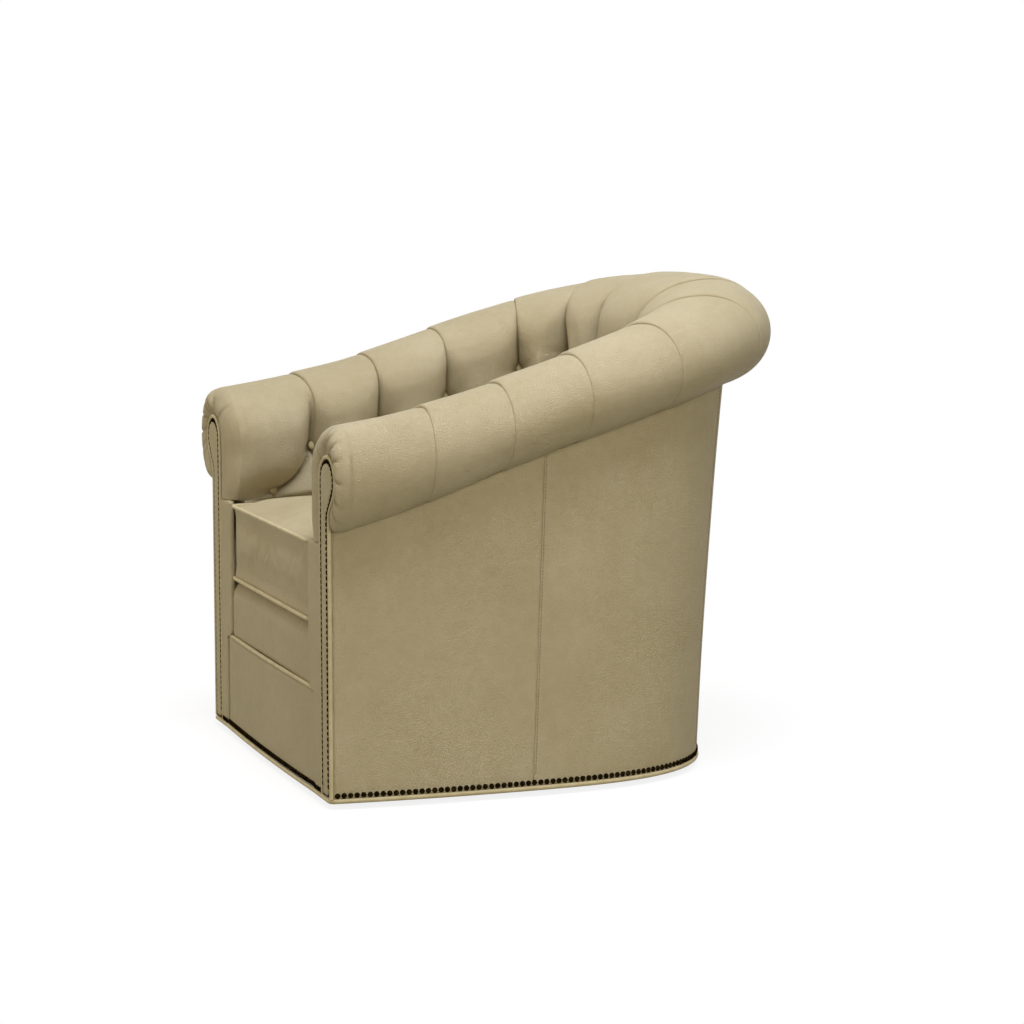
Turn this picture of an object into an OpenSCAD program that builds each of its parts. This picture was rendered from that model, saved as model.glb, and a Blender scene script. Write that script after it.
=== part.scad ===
// Tub-shaped swivel armchair, pleated roll and buttoned lining, on a ball-race swivel plate.
// Millimetres, +Z up, the chair faces -Y. The plan is drawn with its front at y = 0 and then
// moved back by origin_y, so that the model's origin is under its middle, on the floor.

/* [Tub plan] */
// Half width of the shell at its front edge
front_half_w = 367; // [350:1:385]
// Half width of the shell at its widest, where the rounded back begins
shell_half_w = 387; // [375:1:405]
// Length of the arms, from the front to the start of the rounded back
arm_len = 336; // [300:1:380]
// Depth of the rounded back
back_depth = 401; // [370:1:430]
// Squareness of the rounded back, where 2 is an ellipse
back_square = 2.96; // [2.2:0.01:3.4]
// How far the back leans out at the top, past its place at the floor
back_lean = 63.84; // [25:0.01:85]

/* [Roll] */
// Height of the top of the roll at the front of the arms
roll_h_front = 618; // [590:1:650]
// Height of the top of the roll half way round to the back
roll_h_mid = 768; // [740:1:790]
// Height of the top of the roll at the middle of the back
roll_h_back = 841; // [815:1:870]
// Half height of the roll at the front
roll_b_front = 75.5; // [68:0.5:82]
// Half height of the roll along the arms
roll_b_arm = 72; // [64:0.5:80]
// Half height of the roll at the back corners
roll_b_corner = 77.5; // [70:0.5:86]
// Half height of the roll at the middle of the back
roll_b_back = 103; // [88:0.5:110]
// How far the roll stands out past the shell at the front
roll_out_front = 73; // [62:1:80]
// How far the roll stands out past the shell along the arms
roll_out_arm = 58; // [50:1:66]
// How far the roll stands out past the shell at the back corners
roll_out_corner = 63.5; // [56:0.5:72]
// How far the roll stands out past the shell at the middle of the back
roll_out_back = 89.5; // [76:0.5:96]
// Place of the roll's crest at the front of the arm, out from the shell
crest_front = 19; // [10:1:26]
// The same on the arm, where the crest lies inside the shell
crest_arm = -22; // [-28:1:-12]
// The same at the corner
crest_corner = -32; // [-38:1:-22]
// The same at the middle of the back
crest_back = 6; // [-4:1:14]
// Half width of the roll from its crest to the inside
roll_in = 82; // [74:1:88]
// How far the end of the roll bulges in front of the arm facing
roll_nose = 13; // [8:1:18]
// Depth of the grooves at the pleats
pleat_groove = 5; // [2:0.5:7]

/* [Lining] */
// Thickness of the padded side, from the outside of the shell to the seat
lining_t = 117; // [110:1:122]
// Height of the padding of a puff over its buttons
puff = 22; // [10:1:26]
// Depth of the upper buttons below the middle of the roll
button_below = 48; // [40:1:54]
// Height of the front button of the lower row over the seat
low_button_up = 22; // [14:1:28]
// Rise of the lower row from the front to the back
low_button_rise = 85; // [60:1:100]
// Diameter of a covered button
button_d = 15; // [12:0.5:18]

/* [Seat] */
// Height of the seat, at the front welt of the cushion
seat_h = 424; // [415:1:430]
// Thickness of the cushion at its welts
cushion_t = 134; // [124:1:138]
// Half width of the cushion
cushion_half_w = 245.6; // [236:0.1:246]
// Crown of the cushion above its front welt
cushion_crown = 26; // [15:1:30]
// Set-back of the cushion's front
cushion_front = 8; // [4:1:14]
// How far the sides of the cushion draw in between the welts
cushion_draw = 4; // [2:1:8]
// Diameter of the welts
welt_d = 7; // [5:0.5:8]
// Height of the welt between the front border and the lower panel
front_welt_h = 183; // [170:1:195]
// Half width of the lower front panel
panel_half_w = 281; // [272:1:290]
// Bow of the front panel, out at its middle
panel_bow = 4.5; // [2:0.5:8]

/* [Arm facing] */
// Width of the straight part of the facing, over its welts
facing_w = 54; // [48:1:58]
// Radius of the scroll at its top, over its welts
scroll_r = 42; // [36:0.5:46]
// Height of the centre of the scroll
scroll_h = 537; // [525:1:545]
// Distance of the scroll's centre from the shell, outwards
scroll_out = 1; // [-3:0.5:4]
// Height at which the scroll has run back into the straight part
scroll_foot_h = 485; // [470:1:490]
// Thickness of the facing
facing_t = 6; // [4:0.5:8]

/* [Frame] */
// Clearance of the skirt from the floor
skirt_gap = 10; // [6:1:16]
// Thickness of the outside panels
panel_t = 6; // [4:0.5:8]
// Thickness of the standing boards of the shell
shell_board_t = 20; // [16:1:22]
// Thickness of the bottom rails
bottom_rail_t = 22; // [18:1:24]
// Width of the bottom rails
bottom_rail_w = 62; // [50:1:68]
// Thickness of the deck pad under the cushion
deck_t = 31.8; // [27:0.1:38]
// Thickness of the seat frame
seat_frame_t = 24; // [18:1:28]
// Width of the seat frame
seat_frame_w = 64; // [50:1:68]
// Depth of the arm posts, front to back
post_d = 60; // [45:1:70]
// Thickness of the front rail
rail_t = 25; // [20:1:30]
// Height of the front rail
rail_h = 90; // [76:1:96]
// Width of a corner block
block_w = 70; // [50:1:80]
// Height of a corner block
block_h = 40; // [25:1:50]
// Set-back of the front rail from the front of the chair
rail_front = 24; // [20:1:30]
// Thickness of the scroll boards
scroll_board_t = 15; // [10:1:18]
// Height of the top rail inside the roll
top_rail_h = 60; // [45:1:70]
// Width of an upright
upright_w = 45; // [35:1:55]
// Wire diameter of the seat springs
spring_wire = 3.8; // [3:0.1:4.5]
// Number of seat springs
spring_count = 5; // [3:1:6]
// Width of a seat spring
spring_w = 50; // [40:1:60]
// Gap between two seat springs
spring_gap = 28; // [16:1:34]
// Length of one bend of a seat spring
spring_pitch = 24; // [18:1:30]
// Gap between pieces that lie against each other
fit_gap = 0.3; // [0.2:0.05:0.5]

/* [Swivel] */
// Distance of the swivel's axis from the front
swivel_y = 395; // [370:1:420]
// Radius of the plinth
plinth_r = 225; // [205:1:235]
// Thickness of the plinth
plinth_t = 18; // [15:1:20]
// Height of the floor glides
glide_h = 5; // [4:0.5:7]
// Diameter of a floor glide
glide_d = 38; // [30:1:42]
// Number of floor glides
glide_count = 6; // [4:1:8]
// Radius of the swivel plates
plate_r = 150; // [142:1:160]
// Thickness of the swivel plates
plate_t = 3; // [2.5:0.1:3.5]
// Radius of the ball race
race_r = 110; // [100:1:112]
// Diameter of a ball
ball_d = 8; // [7:0.5:9]
// Number of balls
ball_count = 24; // [16:1:30]
// Running clearance of the balls and of the rivet
run_gap = 0.05; // [0.03:0.01:0.08]
// Radius of the swivel rivet
rivet_r = 16; // [12:0.5:18]
// Distance between the bolts of the upper plate, left to right
bolt_dx = 200; // [180:1:206]
// Distance between the bolts of the upper plate, front to back
bolt_dy = 150; // [140:1:156]
// Diameter of the plate bolts and screws
bolt_d = 6; // [5:0.5:7]
// Thickness of the cross rails
cross_rail_t = 30; // [24:1:36]
// Width of the cross rails
cross_rail_w = 45; // [40:1:55]
// Radius of the hole in the dust cover
cover_hole_r = 265; // [255:1:272]
// Thickness of the dust cover
cover_t = 1; // [0.8:0.1:2]
// Thickness of the ball retainer
retainer_t = 1; // [0.8:0.1:1.2]
// Thickness of the rivet's flanges
rivet_flange = 2.5; // [2:0.5:3]
// Depth that the screws of the lower plate bite into the plinth
screw_bite = 14; // [10:1:15]
// Height of a screw head on the lower plate
screw_head_h = 2.5; // [2:0.1:3]
// Height of a bolt head under the upper plate
bolt_head_h = 2.5; // [2:0.1:3]

/* [Hidden] */
$fn = 48;
eps = 0.01;
lean = back_lean / (arm_len + back_depth) / roll_h_back;
pleat_shares = [0.138, 0.263, 0.389, 0.542, 0.700, 0.880];
low_shares = [0.069, 0.200, 0.326, 0.466, 0.621, 0.790, 1];
lining_split = pleat_shares[3];

// Plan of the shell
// Points of the right half, from the front edge round to the middle of the back
side_n = 12;
back_n = 40;
side_pts = [for (i = [0:side_n - 1])
  let (u = 1 - i / side_n) [shell_half_w - (shell_half_w - front_half_w) * u * u, arm_len * i / side_n]];
back_pts = [for (i = [0:back_n])
  let (a = 90 * i / back_n)
  [shell_half_w * pow(cos(a), 2 / back_square), arm_len + back_depth * pow(sin(a), 2 / back_square)]];
half_pts = concat(side_pts, back_pts);
function run_list(p, i = 0, acc = 0, out = []) =
  i == len(p) ? out
  : let (d = i == 0 ? 0 : norm(p[i] - p[i - 1])) run_list(p, i + 1, acc + d, concat(out, [acc + d]));
half_run = run_list(half_pts);
half_len = half_run[len(half_run) - 1];
run_x = [for (i = [0:len(half_pts) - 1]) [half_run[i], half_pts[i].x]];
run_y = [for (i = [0:len(half_pts) - 1]) [half_run[i], half_pts[i].y]];

// u runs from 0 at the right front, over 1 at the middle of the back, to 2 at the left front
function share(u) = u <= 1 ? u : 2 - u;
function plan_at(u) =
  let (s = max(0, min(1, share(u))) * half_len) [(u <= 1 ? 1 : -1) * lookup(s, run_x), lookup(s, run_y)];
function plan_dir(u) =
  let (h = 0.012, a = plan_at(max(0, u - h)), b = plan_at(min(2, u + h)), d = b - a) d / norm(d);
// Outward direction, which turns square to the front at the ends of the arms
function plan_out(u) =
  let (d = plan_dir(u), w = min(1, share(u) / 0.08), v = [d.y, -d.x] * w + [u <= 1 ? 1 : -1, 0] * (1 - w))
  v / norm(v);
function at(u, n, z) =
  let (q = plan_at(u) + plan_out(u) * n) [q.x, q.y * (1 + lean * z) - origin_y, z];
function flat_at(u, n, z) = let (p = at(u, n, z)) [p.x, p.y];

// Shape of the roll and of the lining along the tub
function ease(a, b, t) = a + (b - a) * (1 - cos(180 * max(0, min(1, t)))) / 2;
function along(t, v) =
  t < 0.3 ? ease(v[0], v[1], t / 0.3)
  : t < 0.6 ? ease(v[1], v[2], (t - 0.3) / 0.3)
  : ease(v[2], v[3], (t - 0.6) / 0.4);
function hermite(a, b, ma, mb, u) =
  a * (2 * pow(u, 3) - 3 * u * u + 1) + b * (3 * u * u - 2 * pow(u, 3))
  + ma * (pow(u, 3) - 2 * u * u + u) + mb * (pow(u, 3) - u * u);
rise_start = 0.4 * (roll_h_mid - roll_h_front);
rise_mid = 0.7 * (roll_h_back - roll_h_front);
function roll_top(u) =
  let (t = share(u))
  t < 0.5 ? hermite(roll_h_front, roll_h_mid, rise_start, rise_mid, t * 2)
  : hermite(roll_h_mid, roll_h_back, rise_mid, 0, t * 2 - 1);
function roll_b(u) = along(share(u), [roll_b_front, roll_b_arm, roll_b_corner, roll_b_back]);
function roll_out(u) = along(share(u), [roll_out_front, roll_out_arm, roll_out_corner, roll_out_back]);
function roll_crest(u) = along(share(u), [crest_front, crest_arm, crest_corner, crest_back]);
function roll_mid_h(u) = roll_top(u) - roll_b(u);
function roll_under_angle(u) =
  -acos((fit_gap - roll_crest(u)) / (roll_out(u) - roll_crest(u)));
function roll_under_h(u) = roll_mid_h(u) + roll_b(u) * sin(roll_under_angle(u));
origin_y = ((arm_len + back_depth + roll_out_back) * (1 + lean * (roll_h_back - roll_b_back)) - roll_nose) / 2;

// Heights that stack up from the floor
plinth_top = glide_h + plinth_t;
ball_h = plinth_top + plate_t + ball_d / 2 + 0.5 - run_gap;
upper_plate_h = ball_h + ball_d / 2 - 0.5 + run_gap;
cross_rail_h = upper_plate_h + plate_t;
bottom_rail_h = cross_rail_h - bottom_rail_t;
cover_h = bottom_rail_h - cover_t;
cushion_bottom = seat_h - cushion_t;
deck_top = cushion_bottom - fit_gap;
deck_bottom = deck_top - deck_t;
spring_h = deck_bottom - fit_gap - 2 - spring_wire / 2;
seat_frame_h = spring_h - 1.5 - spring_wire / 2 - fit_gap;
seat_frame_bottom = seat_frame_h - seat_frame_t;
swivel_x = 0;
swivel_dy = swivel_y - origin_y;
frame_n = -panel_t - fit_gap;
frame_in = frame_n - shell_board_t;
web_n = frame_in - 1.1;
web_t = 1.5;
lining_n = web_n - web_t - 3 * fit_gap;
board_front = facing_t + fit_gap;
post_front = board_front + scroll_board_t + fit_gap;
puff_bottom = seat_h + 14;
low_button_h = seat_h + low_button_up;
arm_inner_x = front_half_w - lining_t;
facing_bottom = skirt_gap + welt_d + fit_gap;
facing_out_x = front_half_w + welt_d;
facing_in_x = facing_out_x - facing_w;
scroll_x = front_half_w + scroll_out;
border_front = 2;
border_bottom = front_welt_h + welt_d / 2 + fit_gap;
ridge_h = ball_d / 2 - 0.5 - retainer_t / 2 - 2 * fit_gap;
lower_screw_r = (race_r + ball_d + plate_r) / 2;
rail_half = plan_at(rail_front / half_len).x + frame_in - fit_gap;
cross_half = shell_half_w + frame_n - bottom_rail_w * 0.7;

// Places along the shell, as shares of its half length
rail_gap_u = fit_gap / half_len;
seam_gap_u = fit_gap / half_len;
side_rail_u = (board_front + bottom_rail_w + 1) / half_len;
rail_joint_u = 0.36;
seat_u = (rail_front + rail_t + 1) / half_len;
deck_u = (rail_front + 1) / half_len;
cover_u = (board_front + 1) / half_len;
welt_u = 0.004;
panel_u = (post_front + 1) / half_len;
cushion_u = 0.03;
side_seam_u = 0.345;
back_seam_u = 0.72;
side_upright_u = [0.17, 0.345, 0.5];
back_upright_u = [0.66, 0.84, 1, 1.16, 1.34];
web_u = [for (i = [0:8]) 0.25 + i * 1.5 / 8];
web_du = 0.025;
function rail_low_h(u) = roll_mid_h(u) - top_rail_h * 0.75;

// Seat springs
spring_y0 = rail_front + rail_t / 2;
spring_end_y = (arm_len + back_depth + frame_in - seat_frame_w / 2) * (1 + lean * seat_frame_h) - 4;
spring_bends = floor((spring_end_y - spring_y0) / spring_pitch);
function spring_x(i) = (i - (spring_count - 1) / 2) * (spring_w + spring_gap);

// General shapes

// Solid between rings of points, each ring with as many points, closed by strips at both ends
module loft(rings, strip = true) {
  m = len(rings[0]);
  k = len(rings);
  half = m / 2;
  sides = [for (i = [0:k - 2], j = [0:m - 1])
    let (a = i * m + j, b = i * m + (j + 1) % m, c = a + m, d = b + m) each [[a, c, b], [b, c, d]]];
  caps = [for (e = [0, 1], j = [0:half - 2])
    let (o = e * (k - 1) * m, a = o + j, b = o + j + 1, c = o + m - 1 - j, d = o + m - 2 - j)
    each (e == 0 ? [[a, b, c], [b, d, c]] : [[a, c, b], [b, c, d]])];
  polyhedron([for (r = rings) each r], concat(sides, caps), convexity = 8);
}

// Curved board that follows the shell, with its faces at two offsets and its edges at two heights
module shell_board(u0, u1, n0, n1, steps, z0, z1) {
  loft([for (i = [0:steps])
    let (u = u0 + (u1 - u0) * i / steps)
    [at(u, n0, z0(u)), at(u, n1, z0(u)), at(u, n1, z1(u)), at(u, n0, z1(u))]]);
}

// Closed tube of round section along a loop of points in a list
module loop_tube(path, d, sides = 6) {
  k = len(path);
  rings = [for (i = [0:k - 1])
    let (a = path[(i + k - 1) % k], b = path[(i + 1) % k], t = (b - a) / norm(b - a),
         ref = abs(t.z) > 0.8 ? [0, 1, 0] : [0, 0, 1],
         s = cross(t, ref) / norm(cross(t, ref)), r = cross(s, t))
    [for (j = [0:sides - 1]) path[i] + (s * cos(360 * j / sides) + r * sin(360 * j / sides)) * d / 2]];
  faces = [for (i = [0:k - 1], j = [0:sides - 1])
    let (i2 = (i + 1) % k, j2 = (j + 1) % sides,
         a = i * sides + j, b = i * sides + j2, c = i2 * sides + j, e = i2 * sides + j2)
    each [[a, b, c], [b, e, c]]];
  polyhedron([for (r = rings) each r], faces, convexity = 8);
}

module mirrored() {
  mirror([1, 0, 0]) children();
}

module at_swivel(z) {
  translate([swivel_x, swivel_dy, z]) children();
}

// Flat outline of the tub at a height: the right half is walked first, then the left half
function tub_outline(n, z, u0 = 0, steps = 40) =
  [for (i = [0:steps]) flat_at(u0 + (2 - 2 * u0) * i / steps, n, z)];

module tub_slice(n_out, n_in, z, h, u0, u1, steps) {
  outer = [for (i = [0:steps]) flat_at(u0 + (u1 - u0) * i / steps, n_out, z)];
  inner = [for (i = [steps:-1:0]) flat_at(u0 + (u1 - u0) * i / steps, n_in, z)];
  translate([0, 0, z]) linear_extrude(height = h) polygon(concat(outer, inner));
}

// Swivel base, which stands on the floor

module floor_glides() color("dimgray") at_swivel(0) {
  for (i = [0:glide_count - 1])
    rotate([0, 0, 360 * (i + 0.5) / glide_count]) at_glide() cylinder(h = glide_h, d = glide_d);
}

module at_glide() {
  translate([plinth_r - glide_d / 2 - 6, 0, 0]) children();
}

module plinth_board() color("burlywood") at_swivel(glide_h) {
  difference() {
    rotate_extrude() polygon([
      [0, 0], [plinth_r - 3, 0], [plinth_r, 3], [plinth_r, plinth_t - 3], [plinth_r - 3, plinth_t], [0, plinth_t]]);
    translate([0, 0, -1]) cylinder(h = plinth_t + 2, r = rivet_r + 14);
    lower_screws() translate([0, 0, -screw_bite]) cylinder(h = screw_bite + 1, d = bolt_d);
  }
}

module lower_screws() {
  for (a = [0, 90, 180, 270]) rotate([0, 0, a + 20]) translate([lower_screw_r, 0, plinth_t]) children();
}

module lower_swivel_plate() color("silver") at_swivel(plinth_top) {
  difference() {
    union() {
      cylinder(h = plate_t, r = plate_r);
      race_ridge(plate_t, ridge_h);
    }
    translate([0, 0, ball_h - plinth_top]) ball_track();
    translate([0, 0, -1]) cylinder(h = plate_t + 2, r = rivet_r);
    translate([0, 0, -plinth_t]) lower_screws() cylinder(h = plate_t + 1, d = bolt_d);
  }
}

module race_ridge(z, h) {
  translate([0, 0, z - eps]) difference() {
    cylinder(h = h + eps, r = race_r + ball_d);
    translate([0, 0, -1]) cylinder(h = h + 2, r = race_r - ball_d);
  }
}

module ball_track() {
  rotate_extrude() translate([race_r, 0]) circle(d = ball_d + 2 * run_gap);
}

module lower_plate_screws() color("gray") at_swivel(glide_h) {
  lower_screws() {
    translate([0, 0, -screw_bite]) cylinder(h = screw_bite + plate_t, d = bolt_d);
    translate([0, 0, plate_t]) cylinder(h = screw_head_h, d = bolt_d * 1.8);
  }
}

module swivel_rivet() color("darkgray") at_swivel(plinth_top) {
  difference() {
    union() {
      translate([0, 0, -rivet_flange]) cylinder(h = rivet_flange, r = rivet_r + 6);
      cylinder(h = cross_rail_h - plinth_top + fit_gap, r = rivet_r);
      translate([0, 0, cross_rail_h - plinth_top + fit_gap]) cylinder(h = rivet_flange, r = rivet_r + 6);
    }
    translate([0, 0, -rivet_flange - 1]) cylinder(h = cross_rail_h + 2 * rivet_flange, r = rivet_r - 5);
  }
}

// Ball race

module bearing_balls() color("lightgray") at_swivel(ball_h) {
  for (i = [0:ball_count - 1]) rotate([0, 0, 360 * i / ball_count]) translate([race_r, 0, 0]) sphere(d = ball_d);
}

module ball_retainer() color("goldenrod") at_swivel(ball_h - retainer_t / 2) {
  difference() {
    cylinder(h = retainer_t, r = race_r + ball_d * 0.75);
    translate([0, 0, -1]) cylinder(h = retainer_t + 2, r = race_r - ball_d * 0.75);
    for (i = [0:ball_count - 1])
      rotate([0, 0, 360 * i / ball_count]) translate([race_r, 0, -1])
        cylinder(h = retainer_t + 2, d = ball_d + 2 * fit_gap);
  }
}

// Swivel parts that turn with the chair

module upper_swivel_plate() color("silver") at_swivel(0) {
  difference() {
    union() {
      translate([0, 0, upper_plate_h]) cylinder(h = plate_t, r = plate_r);
      mirror([0, 0, 1]) translate([0, 0, -2 * upper_plate_h])
        translate([0, 0, upper_plate_h]) race_ridge(0, ridge_h);
    }
    translate([0, 0, ball_h]) ball_track();
    translate([0, 0, upper_plate_h - 1]) cylinder(h = plate_t + 2, r = rivet_r + run_gap);
    upper_bolts() translate([0, 0, -1]) cylinder(h = plate_t + 2, d = bolt_d + 2 * fit_gap);
  }
}

module upper_bolts() {
  for (x = [-1, 1], y = [-1, 1]) translate([x * bolt_dx / 2, y * bolt_dy / 2, upper_plate_h]) children();
}

module upper_plate_bolts() color("gray") at_swivel(0) {
  upper_bolts() {
    translate([0, 0, -bolt_head_h]) cylinder(h = bolt_head_h, d = bolt_d * 1.7);
    cylinder(h = plate_t + cross_rail_t, d = bolt_d);
    translate([0, 0, plate_t + cross_rail_t + fit_gap]) cylinder(h = 5, d = bolt_d * 2, $fn = 6);
  }
}

module cross_rail(dy) color("tan") at_swivel(cross_rail_h) {
  difference() {
    translate([-cross_half, dy * bolt_dy / 2 - cross_rail_w / 2, 0]) cube([2 * cross_half, cross_rail_w, cross_rail_t]);
    for (x = [-1, 1]) translate([x * bolt_dx / 2, dy * bolt_dy / 2, -1])
      cylinder(h = cross_rail_t + 2, d = bolt_d + 2 * fit_gap);
  }
}

module cross_rail_front() cross_rail(-1);
module cross_rail_back() cross_rail(1);

// Wooden frame

module bottom_rail_front() color("burlywood") {
  w = front_half_w + frame_n;
  translate([-w, board_front - origin_y, bottom_rail_h]) cube([2 * w, bottom_rail_w, bottom_rail_t]);
}

module bottom_rail_side() {
  tub_slice(frame_n, frame_n - bottom_rail_w, bottom_rail_h, bottom_rail_t, side_rail_u, rail_joint_u, 8);
}

module bottom_rail_right() color("burlywood") bottom_rail_side();
module bottom_rail_left() color("burlywood") mirrored() bottom_rail_side();

module bottom_rail_back() color("burlywood")
  tub_slice(frame_n, frame_n - bottom_rail_w, bottom_rail_h, bottom_rail_t,
    rail_joint_u + rail_gap_u, 2 - rail_joint_u - rail_gap_u, 32);

module seat_frame() color("burlywood")
  tub_slice(frame_in - fit_gap, frame_in - seat_frame_w, seat_frame_bottom, seat_frame_t, seat_u, 2 - seat_u, 48);

module front_rail() color("tan") translate([0, -origin_y, 0]) {
  w = rail_half;
  ledge = panel_half_w - 1;
  translate([-w, rail_front, seat_frame_h - rail_h]) cube([2 * w, rail_t, rail_h]);
  translate([-ledge, board_front, seat_frame_h - rail_h])
    cube([2 * ledge, rail_front - board_front + eps, front_welt_h - 3 - seat_frame_h + rail_h]);
}

module arm_post() {
  shell_board(post_front / half_len, (post_front + post_d) / half_len, frame_n, frame_in, 2,
    function (u) cross_rail_h, function (u) rail_low_h(0) - fit_gap);
}

module arm_post_right() color("tan") arm_post();
module arm_post_left() color("tan") mirrored() arm_post();

module upright(u) {
  du = upright_w / 2 / half_len;
  shell_board(u - du, u + du, frame_n, frame_in, 2,
    function (v) cross_rail_h, function (v) min(rail_low_h(u - du), rail_low_h(u + du)) - fit_gap);
}

module side_uprights() color("tan") {
  for (u = side_upright_u) {
    upright(u);
    upright(2 - u);
  }
}

module back_uprights() color("tan") {
  for (u = back_upright_u) upright(u);
}

module top_rail() color("burlywood")
  shell_board(post_front / half_len, 2 - post_front / half_len, frame_n, frame_in, 44,
    function (u) rail_low_h(u), function (u) rail_low_h(u) + top_rail_h);

module corner_block() {
  y = rail_front + rail_t + fit_gap;
  x = [for (v = [y, y + block_w]) plan_at(v / half_len).x + frame_in - 2 * fit_gap];
  translate([0, -origin_y, seat_frame_bottom - block_h - fit_gap]) linear_extrude(height = block_h)
    polygon([[x[0], y], [x[1], y + block_w], [x[0] - block_w, y]]);
}

module corner_blocks() color("tan") {
  corner_block();
  mirrored() corner_block();
}

// Seat springs: zigzag wire from the front rail to the back of the seat frame

function bend(cx, y, r, s) =
  [for (a = [-90:45:90]) [cx + s * r * cos(a), y + r * sin(a)]];
function zigzag(w, n, p) =
  [for (i = [0:n - 1]) let (s = i % 2 == 0 ? 1 : -1) each bend(s * (w / 2 - p / 2), p / 2 + i * p, p / 2, s)];
function thick_line(p, t) =
  let (k = len(p),
    nrm = [for (i = [0:k - 1])
      let (d = p[min(k - 1, i + 1)] - p[max(0, i - 1)]) [-d.y, d.x] / norm(d) * t / 2])
  concat([for (i = [0:k - 1]) p[i] + nrm[i]], [for (i = [k - 1:-1:0]) p[i] - nrm[i]]);

module seat_springs() color("slategray") {
  for (i = [0:spring_count - 1])
    translate([spring_x(i), spring_y0 - origin_y, spring_h - spring_wire / 2])
      linear_extrude(height = spring_wire)
        polygon(thick_line(concat(
          [[-spring_w / 2 + spring_pitch / 2, 0]],
          zigzag(spring_w, spring_bends, spring_pitch),
          [[(spring_bends % 2 == 0 ? 1 : -1) * (spring_w / 2 - spring_pitch / 2), spring_bends * spring_pitch]]),
          spring_wire));
}

module spring_clips() color("dimgray") {
  for (i = [0:spring_count - 1], e = [0, 1])
    translate([spring_x(i), spring_y0 - origin_y + e * spring_bends * spring_pitch, seat_frame_h]) spring_clip();
}

module spring_clip() {
  r = spring_wire / 2 + fit_gap;
  top = spring_h - seat_frame_h + r + 1;
  difference() {
    translate([-7, -r - 1.5, 0]) cube([14, 2 * r + 3, top]);
    translate([-8, -r, spring_h - seat_frame_h - r]) cube([16, 2 * r, 2 * r]);
  }
}

module deck_pad() color("ivory") translate([0, 0, deck_bottom])
  linear_extrude(height = deck_top - deck_bottom)
    polygon([for (i = [0:40]) flat_at(deck_u + (2 - 2 * deck_u) * i / 40, -lining_t - 3 * fit_gap, deck_bottom)]);

module back_webbing() color("peru") {
  for (u = web_u)
    shell_board(u - web_du, u + web_du, web_n, web_n - web_t, 2,
      function (v) seat_frame_h + fit_gap, function (v) rail_low_h(v) + top_rail_h - 10);
}

module dust_cover() color("black") translate([0, 0, cover_h]) difference() {
  linear_extrude(height = cover_t)
    polygon(concat(
      [[front_half_w + frame_n, board_front - origin_y]],
      [for (i = [0:40]) flat_at(cover_u + (2 - 2 * cover_u) * i / 40, frame_n, cover_h)],
      [[-front_half_w - frame_n, board_front - origin_y]]));
  translate([0, swivel_dy, -1]) cylinder(h = cover_t + 2, r = cover_hole_r, $fn = 96);
}

// Scroll facings at the front of the arms

// Outline of the scroll facing in x and z, drawn in from its outer edge
function scroll_rx(a, r) = a > 90 ? r - scroll_r + scroll_x - facing_in_x : r;
function facing_pts(in) = concat(
  [[facing_out_x - in, facing_bottom], [facing_out_x - in, scroll_foot_h - in / 2],
   [facing_out_x + 9 - in, scroll_foot_h + 12]],
  [for (a = [-35:11.9444:180]) [scroll_x + scroll_rx(a, scroll_r - in) * cos(a), scroll_h + (scroll_r - in) * sin(a)]],
  [[facing_in_x + in, scroll_foot_h], [facing_in_x + in, facing_bottom]]);

module upright_sheet(y, t) {
  translate([0, y + t - origin_y, 0]) rotate([90, 0, 0]) linear_extrude(height = t) children();
}

module scroll_board() {
  upright_sheet(board_front, scroll_board_t) intersection() {
    polygon(facing_pts(welt_d / 2));
    union() {
      translate([0, cross_rail_h]) square([front_half_w, roll_h_back]);
      translate([front_half_w - eps, scroll_foot_h]) square([3 * scroll_r, 5 * scroll_r]);
    }
  }
}

module scroll_board_right() color("burlywood") scroll_board();
module scroll_board_left() color("burlywood") mirrored() scroll_board();

module arm_facing() {
  upright_sheet(0, facing_t) polygon(facing_pts(welt_d + 3 * fit_gap));
}

module arm_facing_right() color("#a79a6e") arm_facing();
module arm_facing_left() color("#a79a6e") mirrored() arm_facing();

module facing_welt() {
  path_tube([for (p = facing_pts(welt_d / 2)) [p.x, facing_t - welt_d / 2 - origin_y, p.y]], welt_d);
}

module facing_welt_right() color("#c4b78c") facing_welt();
module facing_welt_left() color("#c4b78c") mirrored() facing_welt();

// Open tube of round section along the points of a list
module path_tube(path, d, sides = 6) {
  k = len(path);
  rings = [for (i = [0:k - 1])
    let (a = path[max(0, i - 1)], b = path[min(k - 1, i + 1)], t = (b - a) / norm(b - a), s = [0, 1, 0], r = cross(t, s))
    [for (j = [0:sides - 1]) path[i] + (s * cos(360 * (j + 0.5) / sides) + r * sin(360 * (j + 0.5) / sides)) * d / 2]];
  loft(rings);
}

// Front of the seat and of the arms

module arm_border() {
  out = facing_in_x - fit_gap;
  upright_sheet(border_front, rail_front - border_front - fit_gap) polygon([
    [panel_half_w + fit_gap, cross_rail_h + fit_gap], [out, cross_rail_h + fit_gap], [out, puff_bottom - fit_gap],
    [arm_inner_x + 4, puff_bottom - fit_gap], [arm_inner_x, puff_bottom - 4],
    [arm_inner_x, border_bottom], [panel_half_w + fit_gap, border_bottom]]);
  upright_sheet(border_front, board_front - border_front - fit_gap)
    translate([panel_half_w + fit_gap, facing_bottom])
      square([out - panel_half_w - fit_gap, cross_rail_h + 1 - facing_bottom]);
}

module arm_border_right() color("#a79a6e") arm_border();
module arm_border_left() color("#a79a6e") mirrored() arm_border();

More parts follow.
